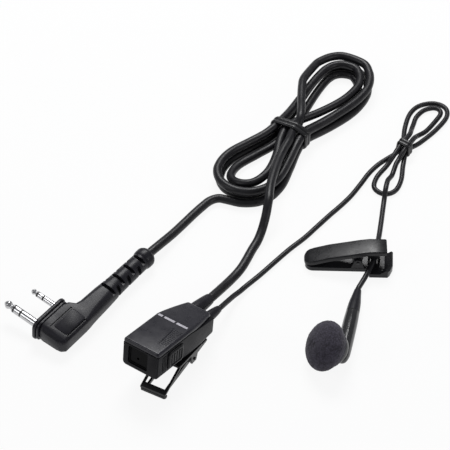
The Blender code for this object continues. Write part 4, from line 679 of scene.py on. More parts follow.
# Name, colour, roughness, scale and depth of the grain, mottle and specular level
MOULDED = {
    "lid": ("lid_plastic", (0.019, 0.0185, 0.025), 0.31, 5000.0, 0.004, 0.06, 0.30),
    # case and panel: painted shade, darker and less glossy than the lid's plastic so that the case's front
    # face stays as dark as its shade
    "case": ("case_plastic", (0.009, 0.0088, 0.011), 0.32, 4200.0, 0.03, 0.20, 0.09),
    "panel": ("panel_plastic_painted_shade", (0.003, 0.003, 0.0035), 0.30, 5000.0, 0.01, 0.2, 0.04),
    "button": ("button_rubber", (0.011, 0.011, 0.0125), 0.36, 4200.0, 0.015, 0.2, 0.20),
    # stripe: light grey bars across the lid, just before its bend
    "stripe": ("light_grey_stripe", (0.42, 0.41, 0.45), 0.45, 2600.0, 0.004, 0.1, 0.4),
    "moulding": ("plug_moulding", (0.015, 0.0145, 0.019), 0.36, 3600.0, 0.007, 0.15, 0.20),
    "jacket": ("cord_jacket", (0.0095, 0.0092, 0.0115), 0.38, 3600.0, 0.02, 0.22, 0.30),
    "tie": ("tie_rubber", (0.012, 0.012, 0.014), 0.32, 3000.0, 0.02, 0.2, 0.42),
    "clip": ("clip_plastic", (0.011, 0.011, 0.013), 0.30, 5600.0, 0.008, 0.10, 0.26),
    "ear": ("earphone_plastic", (0.014, 0.0138, 0.016), 0.15, 6000.0, 0.004, 0.12, 0.7),
    "core": ("pin_insulator", (0.012, 0.012, 0.013), 0.3, 4000.0, 0.005, 0.2, 0.5),
}
# Name, colour, roughness, scale and depth of the grain, stretch, and some have metallic and specular
METAL = {
    "coated": ("coated_steel", (0.009, 0.009, 0.010), 0.28, 900.0, 0.01, (1.0, 4.0, 1.0), 0.1, 0.45),
    "wire": ("spring_wire", (0.58, 0.58, 0.60), 0.24, 2600.0, 0.01, (6.0, 1.0, 1.0)),
    "contact": ("plated_contact", (0.52, 0.52, 0.53), 0.22, 500.0, 0.0002, (1.0, 1.0, 4.0)),
    "can": ("drawn_can", (0.62, 0.62, 0.63), 0.3, 1500.0, 0.01, (1.0, 1.0, 7.0)),
    "grille": ("perforated_steel", (0.02, 0.02, 0.021), 0.4, 1500.0, 0.01, (1.0, 1.0, 1.0), 0.4),
}
FINISHES = {key: moulded(*values) for key, values in MOULDED.items()}
FINISHES.update({key: metal(*values) for key, values in METAL.items()})
FINISHES.update({"foam": foam_material(), "board": board_material()})


# ---------------------------------------------------------------- camera, floor and light
def make_camera():
    camera = bpy.data.cameras.new("camera")
    camera.sensor_width = 36.0
    camera.lens = 18.0 / math.tan(math.radians(CAMERA_FIELD / 2.0))
    camera.clip_start = 0.01
    obj = add_object("camera", camera)
    tilt = math.radians(CAMERA_ELEVATION)
    back = Vector((0.0, -math.cos(tilt), math.sin(tilt))) * CAMERA_DISTANCE
    obj.location = Vector(CAMERA_TARGET) + back
    obj.rotation_euler = (math.radians(90.0) - tilt, 0.0, 0.0)
    bpy.context.scene.camera = obj


def shown_rays(tree):
    """1 for the rays that show the background: from the camera, and off gloss or through glass."""
    total = add_node(tree, "LightPath", {}, "Is Camera Ray")
    rays = total.node.outputs
    for ray in ("Is Glossy Ray", "Is Transmission Ray"):
        inputs = {0: total, 1: rays[ray]}
        total = add_node(tree, "Math", inputs, "Value", operation="ADD", use_clamp=True)
    return total


def make_floor():
    """A white floor that keeps a soft share of the object's shadow."""
    shape = bmesh.new()
    bmesh.ops.create_grid(shape, x_segments=8, y_segments=8, size=TABLE_SIZE)
    mesh = bpy.data.meshes.new("floor")
    shape.to_mesh(mesh)
    shape.free()
    material = bpy.data.materials.new("floor_white")
    material.use_nodes = True
    tree = material.node_tree
    tree.nodes.clear()
    diffuse = add_node(tree, "BsdfDiffuse", {"Color": (*TABLE_COLOUR, 1.0)})
    glow = add_node(tree, "Emission", {"Color": (1.0, 1.0, 1.0, 1.0)})
    share = add_node(tree, "Math", {0: shown_rays(tree), 1: TABLE_GLOW}, operation="MULTIPLY")
    mix = add_node(tree, "MixShader", {"Fac": share, 1: diffuse, 2: glow})
    add_node(tree, "OutputMaterial", {"Surface": mix})
    mesh.materials.append(material)
    add_object("floor", mesh)


def make_world():
    world = bpy.data.worlds.new("studio")
    world.use_nodes = True
    tree = world.node_tree
    tree.nodes.clear()
    room = add_node(tree, "Background", {"Color": (*ROOM_COLOUR, 1.0), "Strength": ROOM_STRENGTH})
    add_node(tree, "OutputWorld", {"Surface": room})
    bpy.context.scene.world = world


def make_light(name, place, target, size, power):
    light = bpy.data.lights.new(name, "AREA")
    light.shape = "RECTANGLE"
    light.size, light.size_y = size
    light.energy = power
    obj = add_object(name, light)
    obj.location = place
    aim = Vector(target) - Vector(place)
    obj.rotation_euler = aim.to_track_quat("-Z", "Y").to_euler()


def make_stage():
    make_floor()
    make_world()
    for name, values in LAMPS.items():
        make_light(name, *values)
    bpy.context.scene.view_settings.view_transform = "Standard"


# ---------------------------------------------------------------- cords
def hank_matrix(hank):
    return placed(layout(*hank["waist"]), (hank["heading"], "Z"))


def eased(value):
    value = min(1.0, max(0.0, value))
    return value * value * (3.0 - 2.0 * value)


def lifted(hank, diameter, along, reach, layer):
    """Height of a strand's middle, which the tie lifts at the hank's waist."""
    lift = hank["lift"] * math.exp(-((along / reach) ** 2))
    return diameter / 2.0 + LIFT_OFF + lift + layer * hank["layer"]


def wound(hank, diameter, step=3.0):
    """The main hank's winding: round its outline, as far out and as high as its winding says."""
    outline = smooth_points(hank["outline"], 0.25, closed=True)[:-1]
    count = len(outline)
    ahead = np.roll(outline, -3, axis=0) - np.roll(outline, 3, axis=0)
    normal = np.stack([ahead[:, 1], -ahead[:, 0]], axis=1)
    normal /= np.linalg.norm(normal, axis=1)[:, None]
    rounds, outs = np.array(hank["winding"]).T
    climbs = np.array(hank["climb"]).T
    route = []
    for i in range(int(rounds[0] * count), int(rounds[-1] * count) + 1, round(step / 0.25)):
        near = np.linspace(i / count - hank["ease"], i / count + hank["ease"], 9)
        out = np.interp(near, rounds, outs).mean()
        layer = np.interp(near, *climbs).mean()
        along, across = outline[i % count]
        side = normal[i % count]
        height = lifted(hank, diameter, along, WAIST_REACH, layer)
        route.append((along + side[0] * out, across + side[1] * out, height))
    return [hank_matrix(hank) @ Vector(point) for point in route]


def laid(hank, diameter, step=2.0):
    """The thin hank's winding, through its route."""
    route = [(along, across, lifted(hank, diameter, along, THIN_WAIST_REACH, layer))
             for along, across, layer in hank["route"]]
    return [hank_matrix(hank) @ Vector(point) for point in smooth_points(route, step)]


def straight_out(spot, way, diameter):
    """Points of the straight run with which a cord leaves a boot."""
    return [spot + way * (GAP + share * 1.2 * diameter) for share in (0.0, 0.4)]


def boot_place(boot):
    return MIC @ placed((boot["across"], 0.0, BOOT_HEIGHT)) @ ALONG_Y


def boot_tip(boot):
    spot = MIC @ Vector((boot["across"], MIC_LENGTH + boot["length"], BOOT_HEIGHT))
    return spot, (MIC.to_3x3() @ Vector((0.0, 1.0, 0.0))).normalized()


# Along the plug's cord from the large pin: the flange's middle, and where head and relief start
FLANGE_MIDDLE = PIN_SPACING / 2.0 - 0.7
HEAD_START = FLANGE_MIDDLE - FLANGE_LENGTH / 2.0 + 1.1
RELIEF_START = HEAD_START + HEAD_LENGTH + NECK_LENGTH


def relief_tip():
    spot = PLUG @ Vector((RELIEF_ACROSS, -(RELIEF_START + RELIEF_LENGTH), 0.0))
    return spot, (PLUG.to_3x3() @ Vector((0.0, -1.0, 0.0))).normalized()


def ear_boot_tip():
    end = layout(*STEM_END)
    return end, (end - STEM_START).normalized()


def main_points():
    """The plug cord from the case through the hank to the plug."""
    points = straight_out(*boot_tip(MAIN_BOOT), MAIN_CORD)
    points += [layout(*point) for point in reversed(MIC_ROUTE)]
    points += reversed(wound(MAIN_HANK, MAIN_CORD))
    points += [layout(*point) for point in reversed(PLUG_ROUTE)]
    points += reversed(straight_out(*relief_tip(), MAIN_CORD))
    return smooth_points([tuple(point) for point in points], 0.9)


def thin_points():
    """The earphone cord from the case through its hank to the earphone."""
    points = straight_out(*boot_tip(THIN_BOOT), THIN_CORD)
    points += [layout(*point) for point in THIN_MIC_ROUTE]
    points += laid(THIN_HANK, THIN_CORD)
    points += [layout(*point) for point in EAR_ROUTE]
    points += reversed(straight_out(*ear_boot_tip(), THIN_CORD))
    return smooth_points([tuple(point) for point in points], 0.7)


def make_cord(name, points, diameter, *nodes):
    return dress(cord_along(name, points, diameter, "jacket"), "jacket", *nodes)


def strands(hank, points, size):
    """(across, height) of a cord's points inside a tie."""
    back = hank_matrix(hank).inverted()
    inside = []
    for point in points:
        along, across, height = back @ Vector(point)
        if abs(along) < size["width"] / 2.0 and -size["right"] < across < size["left"]:
            inside.append((across, height))
    return np.array(inside)


def hugged(centres, reach, turns=72):
    """The convex outline at a reach from all of the centres, by the angle of its normal."""
    outline = []
    for turn in np.linspace(0.0, 2.0 * math.pi, turns, endpoint=False):
        way = np.array((math.cos(turn), math.sin(turn)))
        outline.append(centres[np.argmax(centres @ way)] + way * reach)
    return outline


def make_tie(name, node, hank, size, points, diameter):
    """A rubber tie wound twice round a hank's waist, tight on its outer strands."""
    half = size["width"] / 2.0
    deepest = TIE_THICKNESS - 0.05
    section = []
    for share in np.linspace(0.0, 1.0, 17):
        bulge = abs(math.sin(2.0 * math.pi * share)) ** 0.6
        section.append((half * (2.0 * share - 1.0), 0.65 * TIE_THICKNESS * (1.0 - bulge)))
    section += [(half - 0.1, deepest), (-half + 0.1, deepest)]
    centres = strands(hank, points, size)
    rings = []
    for x, sink in section:
        outline = hugged(centres, diameter / 2.0 + TIE_THICKNESS - sink)
        rings.append([(x + TIE_SWAY * math.sin(0.35 * a), a, b) for a, b in outline])
    tie = make(name, loft(rings, closed=True), "tie", hank_matrix(hank), 60.0)
    return dress(tie, "jacket", node)


# ---------------------------------------------------------------- microphone
def behind_bend(y):
    """0 up to the lid's bend, and 1 at the case's rear."""
    return max(0.0, (y - BEND_LENGTH) / (MIC_LENGTH - BEND_LENGTH))


def lid_top(y):
    return MIC_HEIGHT + (MIC_REAR_HEIGHT - MIC_HEIGHT) * behind_bend(y)


def half_width(y, rear_width):
    return (MIC_WIDTH + (rear_width - MIC_WIDTH) * behind_bend(y) ** 1.5) / 2.0


def case_stations(edge):
    """(distance from the front, inset) along the case, with a round edge at each end."""
    angles = np.linspace(0.0, math.pi / 2.0, 7)
    turn = [(edge * (1.0 - math.cos(a)), edge * (1.0 - math.sin(a))) for a in angles]
    rear = np.linspace(BEND_LENGTH, MIC_LENGTH - edge, 9)[1:-1]
    stations = turn + [(0.5 * BEND_LENGTH, 0.0), (BEND_LENGTH, 0.0)] + [(y, 0.0) for y in rear]
    return stations + [(MIC_LENGTH - y, inset) for y, inset in reversed(turn)]


def case_section(y, inset, rear_width, low, high, radii):
    half = half_width(y, rear_width) - inset
    return y, rounded(-half, half, low, high, radii)


def make_top_cover():
    sections = []
    for y, inset in case_stations(LID_EDGE):
        top = lid_top(y) - inset
        low = lid_top(y) - LID_THICKNESS + 0.1
        radii = (0.15, 0.15, LID_ROUND, LID_ROUND)
        sections.append(case_section(y, inset, LID_REAR_WIDTH, low, top, radii))
    lid = make("lid", stacked(sections, "Y"), "lid", MIC)
    add_lid_ribs(lid)
    dress(lid, "case", "top_cover")
    stripe = make_lid_stripe()
    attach(stripe, "microphone_set")


def add_lid_ribs(lid):
    """Fine grip ribs along the lid's right side, inside a raised bead."""
    line = smooth_points(LID_BEAD, 0.6)
    angles = np.linspace(0.0, 2.0 * math.pi, 12, endpoint=False)
    rings = []
    for i, (x, y) in enumerate(line):
        thick = BEAD_RADIUS * min(1.0, 0.3 + 0.7 * min(i, len(line) - 1 - i) / 3.0)
        rings.append([(x + thick * math.cos(t), y, MIC_HEIGHT + thick * math.sin(t)) for t in angles])
    join_in(lid, loft(rings))
    for i in range(LID_RIBS):
        sides = (4.6 - 0.11 * i, 7.2, LID_RIB_START + i, LID_RIB_START + i + 0.42)
        outline = grown(sides, 0.0, 0.2, 4)
        sections = [(MIC_HEIGHT - 0.1, outline), (MIC_HEIGHT + 0.06, outline),
                    (MIC_HEIGHT + 0.18, grown(sides, -0.1, 0.1, 4))]
        join_in(lid, stacked(sections, "Z"))


def make_lid_stripe():
    """The broken light line across the lid, just before its bend."""
    bars = [prism(grown((*bar, *STRIPE), 0.0, 0.15, 3), MIC_HEIGHT - 0.05, MIC_HEIGHT + 0.06)
            for bar in STRIPE_BARS]
    stripe = make("lid_stripe", bars[0], "stripe", MIC)
    for bar in bars[1:]:
        join_in(stripe, bar)
    return stripe


def make_lower_shell():
    sections = []
    for y, inset in case_stations(EDGE):
        top = lid_top(y) - LID_THICKNESS - GAP
        radii = (CASE_ROUND - 0.5 * inset, CASE_ROUND - 0.5 * inset, 0.1, 0.1)
        sections.append(case_section(y, inset, MIC_REAR_WIDTH, inset, top, radii))
    shell = make("case_shell", stacked(sections, "Y"), "case", MIC)
    hollow = []
    for y in (WALL, BEND_LENGTH, 0.5 * (BEND_LENGTH + MIC_LENGTH), MIC_LENGTH - WALL):
        half = half_width(y, LID_REAR_WIDTH) - WALL
        hollow.append((y, rounded(-half, half, FLOOR, MIC_HEIGHT + 1.0, 0.5, 3)))
    carve(shell, stacked(hollow, "Y"))
    side = MIC_WIDTH / 2.0
    carve(shell, prism(grown(PANEL, GAP / 2.0, 0.8), -1.0, WALL + 1.0, "Y"))
    carve(shell, prism(grown(BUTTON, GAP / 2.0, BUTTON_ROUND), side - WALL - 1.0, side + 1.0, "X"))
    for x, y in SCREW_PLACES:
        carve(shell, rod(SCREW_HEAD / 2.0 + 0.1, -1.0, 0.8), MIC @ placed((x, y, 0.0)))
    for boot in (MAIN_BOOT, THIN_BOOT):
        way = rod(boot["diameter"] / 2.0 - 0.3, MIC_LENGTH - 2.0 * WALL, MIC_LENGTH + 1.0)
        carve(shell, way, boot_place(boot))
    for y in SIDE_RIBS:
        rib = rounded(y, y + 0.4, 2.4, 9.4, 0.18, 4)
        join_in(shell, prism(rib, side - 0.2, side + 0.2, "X"))
    soften(shell, 0.13, 2)
    dress(shell, "case", "lower_shell")


def make_front_panel():
    behind = WALL + GAP
    sections = [(PANEL_RECESS, grown(PANEL, 0.0, 0.7)), (behind, grown(PANEL, 0.0, 0.7)),
                (behind, grown(PANEL, PANEL_LIP, 0.7)), (WALL + 3.0 * GAP, grown(PANEL, PANEL_LIP, 0.7))]
    panel = make("front_panel", stacked(sections, "Y"), "panel", MIC)
    inner = grown(PANEL, -PANEL_RIM, 0.5)
    carve(panel, prism(inner, PANEL_RECESS - 1.0, PANEL_RECESS + 0.25, "Y"))
    carve(panel, rod(SOUND_HOLE / 2.0, 0.0, WALL + 2.0), MIC @ placed(SOUND_HOLE_PLACE) @ ALONG_Y)
    soften(panel, 0.1, 2)
    dress(panel, "case", "front_grille")


def make_button():
    face = MIC_WIDTH / 2.0 - WALL - GAP
    outer = MIC_WIDTH / 2.0 + BUTTON_PROUD
    stations = [(face - 0.9, -2.2), (face - 0.65, 0.3), (face, 0.3), (face, 0.0), (outer - 0.55, 0.0),
                (outer - 0.2, -0.16), (outer, -0.5)]
    sections = [(x, grown(BUTTON, grow, BUTTON_ROUND)) for x, grow in stations]
    button = make("talk_button", stacked(sections, "X"), "button", MIC)
    carve(button, prism(grown(BUTTON, -1.1, 1.0), outer - 0.35, outer + 1.0, "X"))
    start, _, low, high = BUTTON
    for along in BUTTON_RIBS:
        rib = rounded(start + along, start + along + 0.6, low + 1.6, high - 1.6, 0.28, 4)
        join_in(button, prism(rib, outer - 0.5, outer - 0.1, "X"))
    soften(button, 0.14, 3)
    dress(button, "button", "ptt_button")


def make_boot(name, node, boot, cord):
    """A moulded bend relief: a flange against the case, then a soft taper."""
    radius = boot["diameter"] / 2.0
    length = boot["length"]
    tip = cord / 2.0 + 0.3
    profile = [(radius - 0.6, MIC_LENGTH - WALL + 0.1), (radius - 0.6, MIC_LENGTH + GAP)]
    body = [(radius, MIC_LENGTH + GAP), (radius, MIC_LENGTH + 0.3 * length),
            (0.5 * (radius + tip), MIC_LENGTH + 0.75 * length), (tip, MIC_LENGTH + length)]
    piece = make(name, turned(profile + soft_profile(body, 0.3)), "moulding", boot_place(boot), 40.0)
    dress(soften(piece, 0.2), "moulded", node)


def refined(name, node):
    """A copy of a pressed-steel solid, with its edges rounded."""
    shape = bmesh.new()
    shape.from_mesh(frame["nodes"][node].data)
    bmesh.ops.remove_doubles(shape, verts=shape.verts[:], dist=0.002 * MM)
    bmesh.ops.dissolve_limit(shape, angle_limit=math.radians(2.0), verts=shape.verts[:], edges=shape.edges[:])
    obj = make(name, shape, "coated", Matrix.Identity(4))
    dress(soften(obj, 0.12, 2, 40.0), "coated_steel", node)


def coil(radius, pitch, turns, per_turn=24):
    """Points of a coil along X, centred on the origin."""
    spots = []
    for i in range(turns * per_turn + 1):
        turn = 2.0 * math.pi * i / per_turn
        x = -pitch * turns / 2.0 + pitch * i / per_turn
        spots.append(Vector((x, radius * math.cos(turn), radius * math.sin(turn))))
    return spots


def make_axle(name, node, diameter, half, place):
    axle = make(name, rod(diameter / 2.0, -half, half), "coated", place)
    return dress(soften(axle, 0.15), "coated_steel", node)


def make_spring(name, node, place, core, wire, pitch, turns):
    """A coil of wire round a core, along the X of its place."""
    points = [place @ spot for spot in coil(core / 2.0 + GAP + wire / 2.0, pitch, turns)]
    return dress(cord_along(name, points, wire, "wire", 4), "spring_steel", node)


def make_clip():
    refined("clip_channel", "clip_base")
    refined("clip_lever", "clip_jaw")
    place = CLIP @ placed((0.0, 0.0, -PIN_DROP))
    make_axle("clip_hinge_pin", "clip_pin", PIN_DIAMETER, CLIP_WIDTH / 2.0 + 0.5, place @ ALONG_X)
    make_spring("clip_coil", "clip_spring", place, PIN_DIAMETER, SPRING_WIRE, SPRING_PITCH, SPRING_TURNS)
    keep("clip_rivet", "coated")


def make_microphone():
    make_top_cover()
    make_lower_shell()
    make_front_panel()
    make_button()
    make_boot("large_cord_boot", "main_cord_boot", MAIN_BOOT, MAIN_CORD)
    make_boot("small_cord_boot", "thin_cord_boot", THIN_BOOT, THIN_CORD)
    make_clip()
    keep("mic_capsule", "can")
    keep("capsule_boot", "button")
    keep("circuit_board", "board")
    for node in ("ptt_switch", "case_screw_front", "case_screw_rear"):
        keep(node, "coated")


# ---------------------------------------------------------------- plug
def head_half_height(x):
    share = (x + HEAD_DEPTH) / HEAD_DEPTH
    return (HEAD_REAR_HEIGHT + (HEAD_FRONT_HEIGHT - HEAD_REAR_HEIGHT) * share) / 2.0


def head_ring(low_x, high_x, radius, share, blend):
    """Section of the head across the cord: a rounded rectangle that turns into the relief's circle."""
    round_half = RELIEF_DIAMETER / 2.0
    centre = 0.5 * (low_x + high_x)
    half = head_half_height(centre) * share
    half = half + (round_half - half) * blend
    limit = min(radius, half, 0.5 * (high_x - low_x)) - 0.001
    ring = rounded(low_x, high_x, -half, half, limit, 8)
    slope = (HEAD_FRONT_HEIGHT - HEAD_REAR_HEIGHT) / 2.0 / HEAD_DEPTH * (1.0 - blend) * share
    return [(x, z * (1.0 + slope * (x - centre) / half)) for x, z in ring]


def head_slab(sides, radius, below, above, inset=0.0):
    """A plate or cutter that follows the head's upper face, and the same below."""
    slabs = []
    for side in (1, -1):
        rings = []
        for offset, grow in ((below, 0.0), (above - 0.6 * inset, 0.0), (above, -inset)):
            outline = grown(sides, grow, radius + grow)
            rings.append([(x, -s, side * (head_half_height(x) + offset)) for x, s in outline])
        slabs.append(loft(rings))
    return slabs


def head_stations():
    """Along the head and its neck: distance, rear, front, share of the height and radius."""
    thick = HEAD_START + HEAD_LENGTH - 4.0
    front = -FLANGE_DEPTH - GAP
    rear = -HEAD_DEPTH
    neck_front = RELIEF_ACROSS + RELIEF_DIAMETER / 2.0
    neck_rear = RELIEF_ACROSS - RELIEF_DIAMETER / 2.0
    step = HEAD_START + HEAD_LENGTH
    middle = 0.5 * (step + RELIEF_START)
    return np.array([
        (HEAD_START, rear + 2.2, front - 1.6, 0.66, 1.6),
        (HEAD_START + 0.7, rear + 0.8, front - 0.6, 0.88, 2.0),
        (HEAD_START + 2.2, rear, front, 1.0, 1.6),
        (thick, rear + 0.1, front, 1.0, 1.6),
        (step - 1.4, rear + 0.2, front - 1.0, 1.0, 1.8),
        (step + 0.4, rear + 0.3, front - 3.4, 1.0, 2.2),
        (step + 3.0, rear + 0.4, 0.5 * (neck_front + front - 3.6), 1.0, 2.6),
        (middle + 2.0, 0.5 * (neck_rear + rear + 0.4), neck_front + 0.2, 1.0, 3.2),
        (RELIEF_START, neck_rear, neck_front, 1.0, 4.2),
    ])


def make_plug_head():
    along = head_stations()
    steps = np.arange(len(along))
    step = HEAD_START + HEAD_LENGTH
    rings = []
    for mark in np.arange(0.0, steps[-1] + 0.1, 0.2):
        s, low_x, high_x, share, radius = [np.interp(mark, steps, along[:, k]) for k in range(5)]
        blend = eased((s - step) / (RELIEF_START - step))
        rings.append([(x, -s, z) for x, z in head_ring(low_x, high_x, radius, min(1.0, share), blend)])
    head = make("plug_body", loft(rings), "moulding", PLUG, 40.0)
    rear, front = HEAD_PANEL[:2]
    for slab in head_slab(HEAD_PANEL, 1.1, -1.0, 0.32, 0.3):
        carve(head, slab, operation="UNION")
    cuts = head_slab((front + 0.1, front + 0.9, -0.4, 13.0), 0.35, -0.4, 1.0)
    cuts += head_slab((rear - 0.75, rear - 0.05, 0.8, 12.4), 0.3, -0.45, 1.0)
    for cut in cuts:
        carve(head, cut)
    for number in (-2, -1):
        cut_slots(head, number)
    return dress(soften(head, 0.16, 3), "moulded", "plug_head")


def rim(stations):
    """A plate across the plug's front, through (x, inset) stations."""
    long = FLANGE_LENGTH / 2.0
    high = FLANGE_HEIGHT / 2.0
    rings = []
    for x, inset in stations:
        sides = (FLANGE_MIDDLE - long, FLANGE_MIDDLE + long, -high, high)
        outline = grown(sides, -inset, FLANGE_ROUND - 0.6 * inset, 10)
        rings.append([(x, -s, z) for s, z in outline])
    return loft(rings)


def make_plug_flange():
    """The plug's front flange, with a second ridge behind it."""
    face = -FLANGE_DEPTH
    ridge = face - GAP
    back = ridge - RIDGE_DEPTH
    front = [(ridge, 1.0), (face, 1.0), (face, 0.3), (face + 0.15, 0.1), (face + 0.3, 0.0), (-0.3, 0.0),
             (-0.12, 0.1), (0.0, 0.4)]
    flange = make("plug_rim", rim(front), "moulding", PLUG)
    join_in(flange, rim([(back, 0.75), (back + 0.15, 0.45), (ridge - 0.15, 0.45), (ridge, 0.65)]))
    return dress(flange, "moulded", "plug_flange")


def make_jack_pin(name, size, along):
    """A jack pin's sleeve, ring and tip, and the insulator between them."""
    radius = size["diameter"] / 2.0
    wide = radius - 0.06
    place = PLUG @ placed((0.0, -along, 0.0)) @ ALONG_X
    sleeve = size["sleeve"]
    ring = size["ring"]
    ring_start = sleeve + INSULATOR
    tip_start = ring + INSULATOR
    reach = size["length"] - tip_start
    made = []
    for part, low, high in (("sleeve", GAP, sleeve), ("ring", ring_start, ring)):
        obj = make(f"{name}_{part}_turned", rod(radius, low, high, ROUND), "contact", place)
        made.append(dress(soften(obj, 0.12), "contact", f"{name}_{part}"))
    core = [(0.9 * radius, sleeve - 0.1), (wide, sleeve), (wide, ring_start), (0.5 * radius, ring_start),
            (0.5 * radius, ring), (wide, ring), (wide, tip_start), (0.9 * radius, tip_start + 0.1)]
    made.append(dress(make(f"{name}_insulator", turned(core), "core", place), "pin_core", f"{name}_core"))
    tip = soft_profile([(a * radius, tip_start + b * reach) for a, b in PIN_TIP], 0.12)
    made.append(dress(make(f"{name}_point", turned(tip), "contact", place, 50.0), "contact", f"{name}_tip"))
    return made


def cut_slots(piece, number):
    """A pair of slots round the cord, above and below or at both sides, by turns."""
    middle = RELIEF_START + SLOT_START + SLOT_STEP * number
    wide = RELIEF_DIAMETER / 2.0 + 3.0
    deep = RELIEF_DIAMETER / 2.0 - SLOT_DEPTH
    for side in (-1, 1):
        near, far = sorted((side * deep, side * wide))
        low = (near, -wide) if number % 2 else (-wide, near)
        high = (far, wide) if number % 2 else (wide, far)
        slot = box((*low, middle - SLOT_WIDTH / 2.0), (*high, middle + SLOT_WIDTH / 2.0))
        carve(piece, slot, RELIEF)


def make_plug_relief():
    """The segmented bend relief with its barrel collar."""
    radius = RELIEF_DIAMETER / 2.0
    start = RELIEF_START + 0.05
    end = RELIEF_START + RELIEF_LENGTH
    collar = end - COLLAR_LENGTH
    profile = [(radius, start), (radius - 0.1, start + 6.0), (radius - 0.25, collar - 0.7),
               (radius - 0.2, collar - 0.1), (radius + 0.1, collar + 0.6), (radius + 0.2, collar + 2.0),
               (radius + 0.1, end - 1.9), (radius - 0.8, end - 0.6), (MAIN_CORD / 2.0 + 0.5, end)]
    relief = make("plug_strain_relief", turned(soft_profile(profile, 0.4)), "moulding", RELIEF, 50.0)
    for number in range(5):
        cut_slots(relief, number)
    return dress(soften(relief, 0.22, 3, 40.0), "moulded", "plug_relief")


def make_plug():
    pieces = [make_plug_head(), make_plug_flange(), make_plug_relief()]
    pieces += make_jack_pin("large_pin", LARGE_PIN, 0.0)
    return pieces + make_jack_pin("small_pin", SMALL_PIN, PIN_SPACING)


# ---------------------------------------------------------------- cord clip
def add_ears(piece, outline, inner, outer):
    """A pair of ears of an (x, z) outline, one at each side."""
    for side in (-1, 1):
        near, far = sorted((side * inner, side * outer))
        carve(piece, prism(outline, near, far, "Y"), operation="UNION")


def clip_handle():
    """The base's broad handle, which reaches past the plate on one side and is shorter there."""
    low = 0.05
    top = CORD_CLIP_BASE - 0.05
    half = CORD_CLIP_WIDTH / 2.0
    sections = []
    for y, shorter in ((-HANDLE_FRONT, HANDLE_NARROW + 0.8), (-HANDLE_FRONT + 1.0, HANDLE_NARROW - 0.1),
                       (-HANDLE_FRONT + 4.0, 0.2 * HANDLE_NARROW), (half - 0.05, 0.0)):
        end = HANDLE_END - shorter
        sections.append((y, [(HANDLE_START, low), (end, low), (end, HANDLE_RISE - 0.6),
                             (end - 0.7, HANDLE_RISE), (end - 3.4, top), (HANDLE_START, top)]))
    return stacked(sections, "Y")


def cord_loop():
    """The arch on the base that holds the earphone cord."""
    foot = CORD_CLIP_BASE - 0.4
    inner = THIN_CORD / 2.0 + 2.0 * GAP
    outer = inner + CORD_LOOP_WALL
    height = CORD_CLIP_BASE + THIN_CORD + GAP
    crown = [(math.cos(a), math.sin(a)) for a in np.linspace(0.0, math.pi, 9)]
    arch = [(-outer, foot)] + [(-outer * a, height + CORD_LOOP_WALL * b) for a, b in crown]
    arch += [(outer, foot), (inner, foot)]
    arch += [(inner * a, height + 0.2 * b) for a, b in crown] + [(-inner, foot)]
    outline = [(CORD_LOOP_PLACE + a, b) for a, b in arch]
    return prism(outline, -CORD_LOOP_LENGTH / 2.0, CORD_LOOP_LENGTH / 2.0, "Y")


def make_cord_clip_base():
    half = CORD_CLIP_WIDTH / 2.0
    foot = CORD_CLIP_BASE - 0.5
    plan = rounded(0.6, HANDLE_START + 1.0, -half, half, (3.2, 0.2, 0.2, 3.2), 8)
    base = make("cord_clip_plate", prism(plan, 0.05, CORD_CLIP_BASE), "clip", CORD_CLIP)
    carve(base, clip_handle(), operation="UNION")
    ear = [(CORD_CLIP_PIVOT - 3.0, foot), (CORD_CLIP_PIVOT + 3.0, foot)]
    for a in np.radians(np.arange(10, 171, 20)):
        ear.append((CORD_CLIP_PIVOT + 1.7 * math.cos(a), CORD_CLIP_PIN_HEIGHT + 1.6 * math.sin(a)))
    add_ears(base, ear, half - CORD_CLIP_EAR - 0.1, half - 0.1)
    carve(base, cord_loop(), operation="UNION")
    return dress(soften(base, 0.18, 3), "case", "cord_clip_base")


def make_cord_clip_lever():
    half = CORD_CLIP_WIDTH / 2.0
    bend_x, bend_z = CORD_CLIP_BEND
    tip_z = CORD_CLIP_TIP_HEIGHT
    end_z = CORD_CLIP_END_HEIGHT
    stations = [
        (0.15, tip_z - 1.2, 0.30, 0.4), (0.4, tip_z - 0.9, 0.5, 0.62), (0.8, tip_z - 0.45, 0.66, 0.78),
        (1.3, tip_z, 0.78, 0.9), (2.4, tip_z + 0.45, 0.92, 1.0), (4.2, tip_z + 1.0, 1.0, 1.0),
        (0.5 * bend_x, 0.5 * (tip_z + 0.6 + bend_z), 1.0, 1.0), (bend_x - 2.0, bend_z - 0.55, 1.0, 1.0),
        (bend_x + 2.0, bend_z + 0.45, 1.0, 1.0), (bend_x + 6.0, end_z - 0.15, 0.98, 1.0),
        (CORD_CLIP_LENGTH - 0.5, end_z, 0.96, 1.0), (CORD_CLIP_LENGTH, end_z - 0.3, 0.92, 0.7),
    ]
    sections = []
    for x, z, wide, share in stations:
        radii = (0.2, 0.2, 0.55 * share, 0.55 * share)
        sections.append((x, rounded(-half * wide, half * wide, z - CORD_CLIP_PLATE * share, z, radii)))
    lever = make("cord_clip_tongue", stacked(sections, "X"), "clip", CORD_CLIP, 40.0)
    foot = CORD_CLIP_PIN_HEIGHT - 1.5
    ear = [(CORD_CLIP_PIVOT - 2.6, bend_z - 1.2), (CORD_CLIP_PIVOT - 1.5, foot),
           (CORD_CLIP_PIVOT + 1.5, foot), (CORD_CLIP_PIVOT + 2.6, bend_z - 0.8)]
    outer = half - CORD_CLIP_EAR - 0.1 - GAP
    add_ears(lever, ear, outer - CORD_CLIP_EAR, outer)
    return dress(soften(lever, 0.15, 3), "case", "cord_clip_lever")


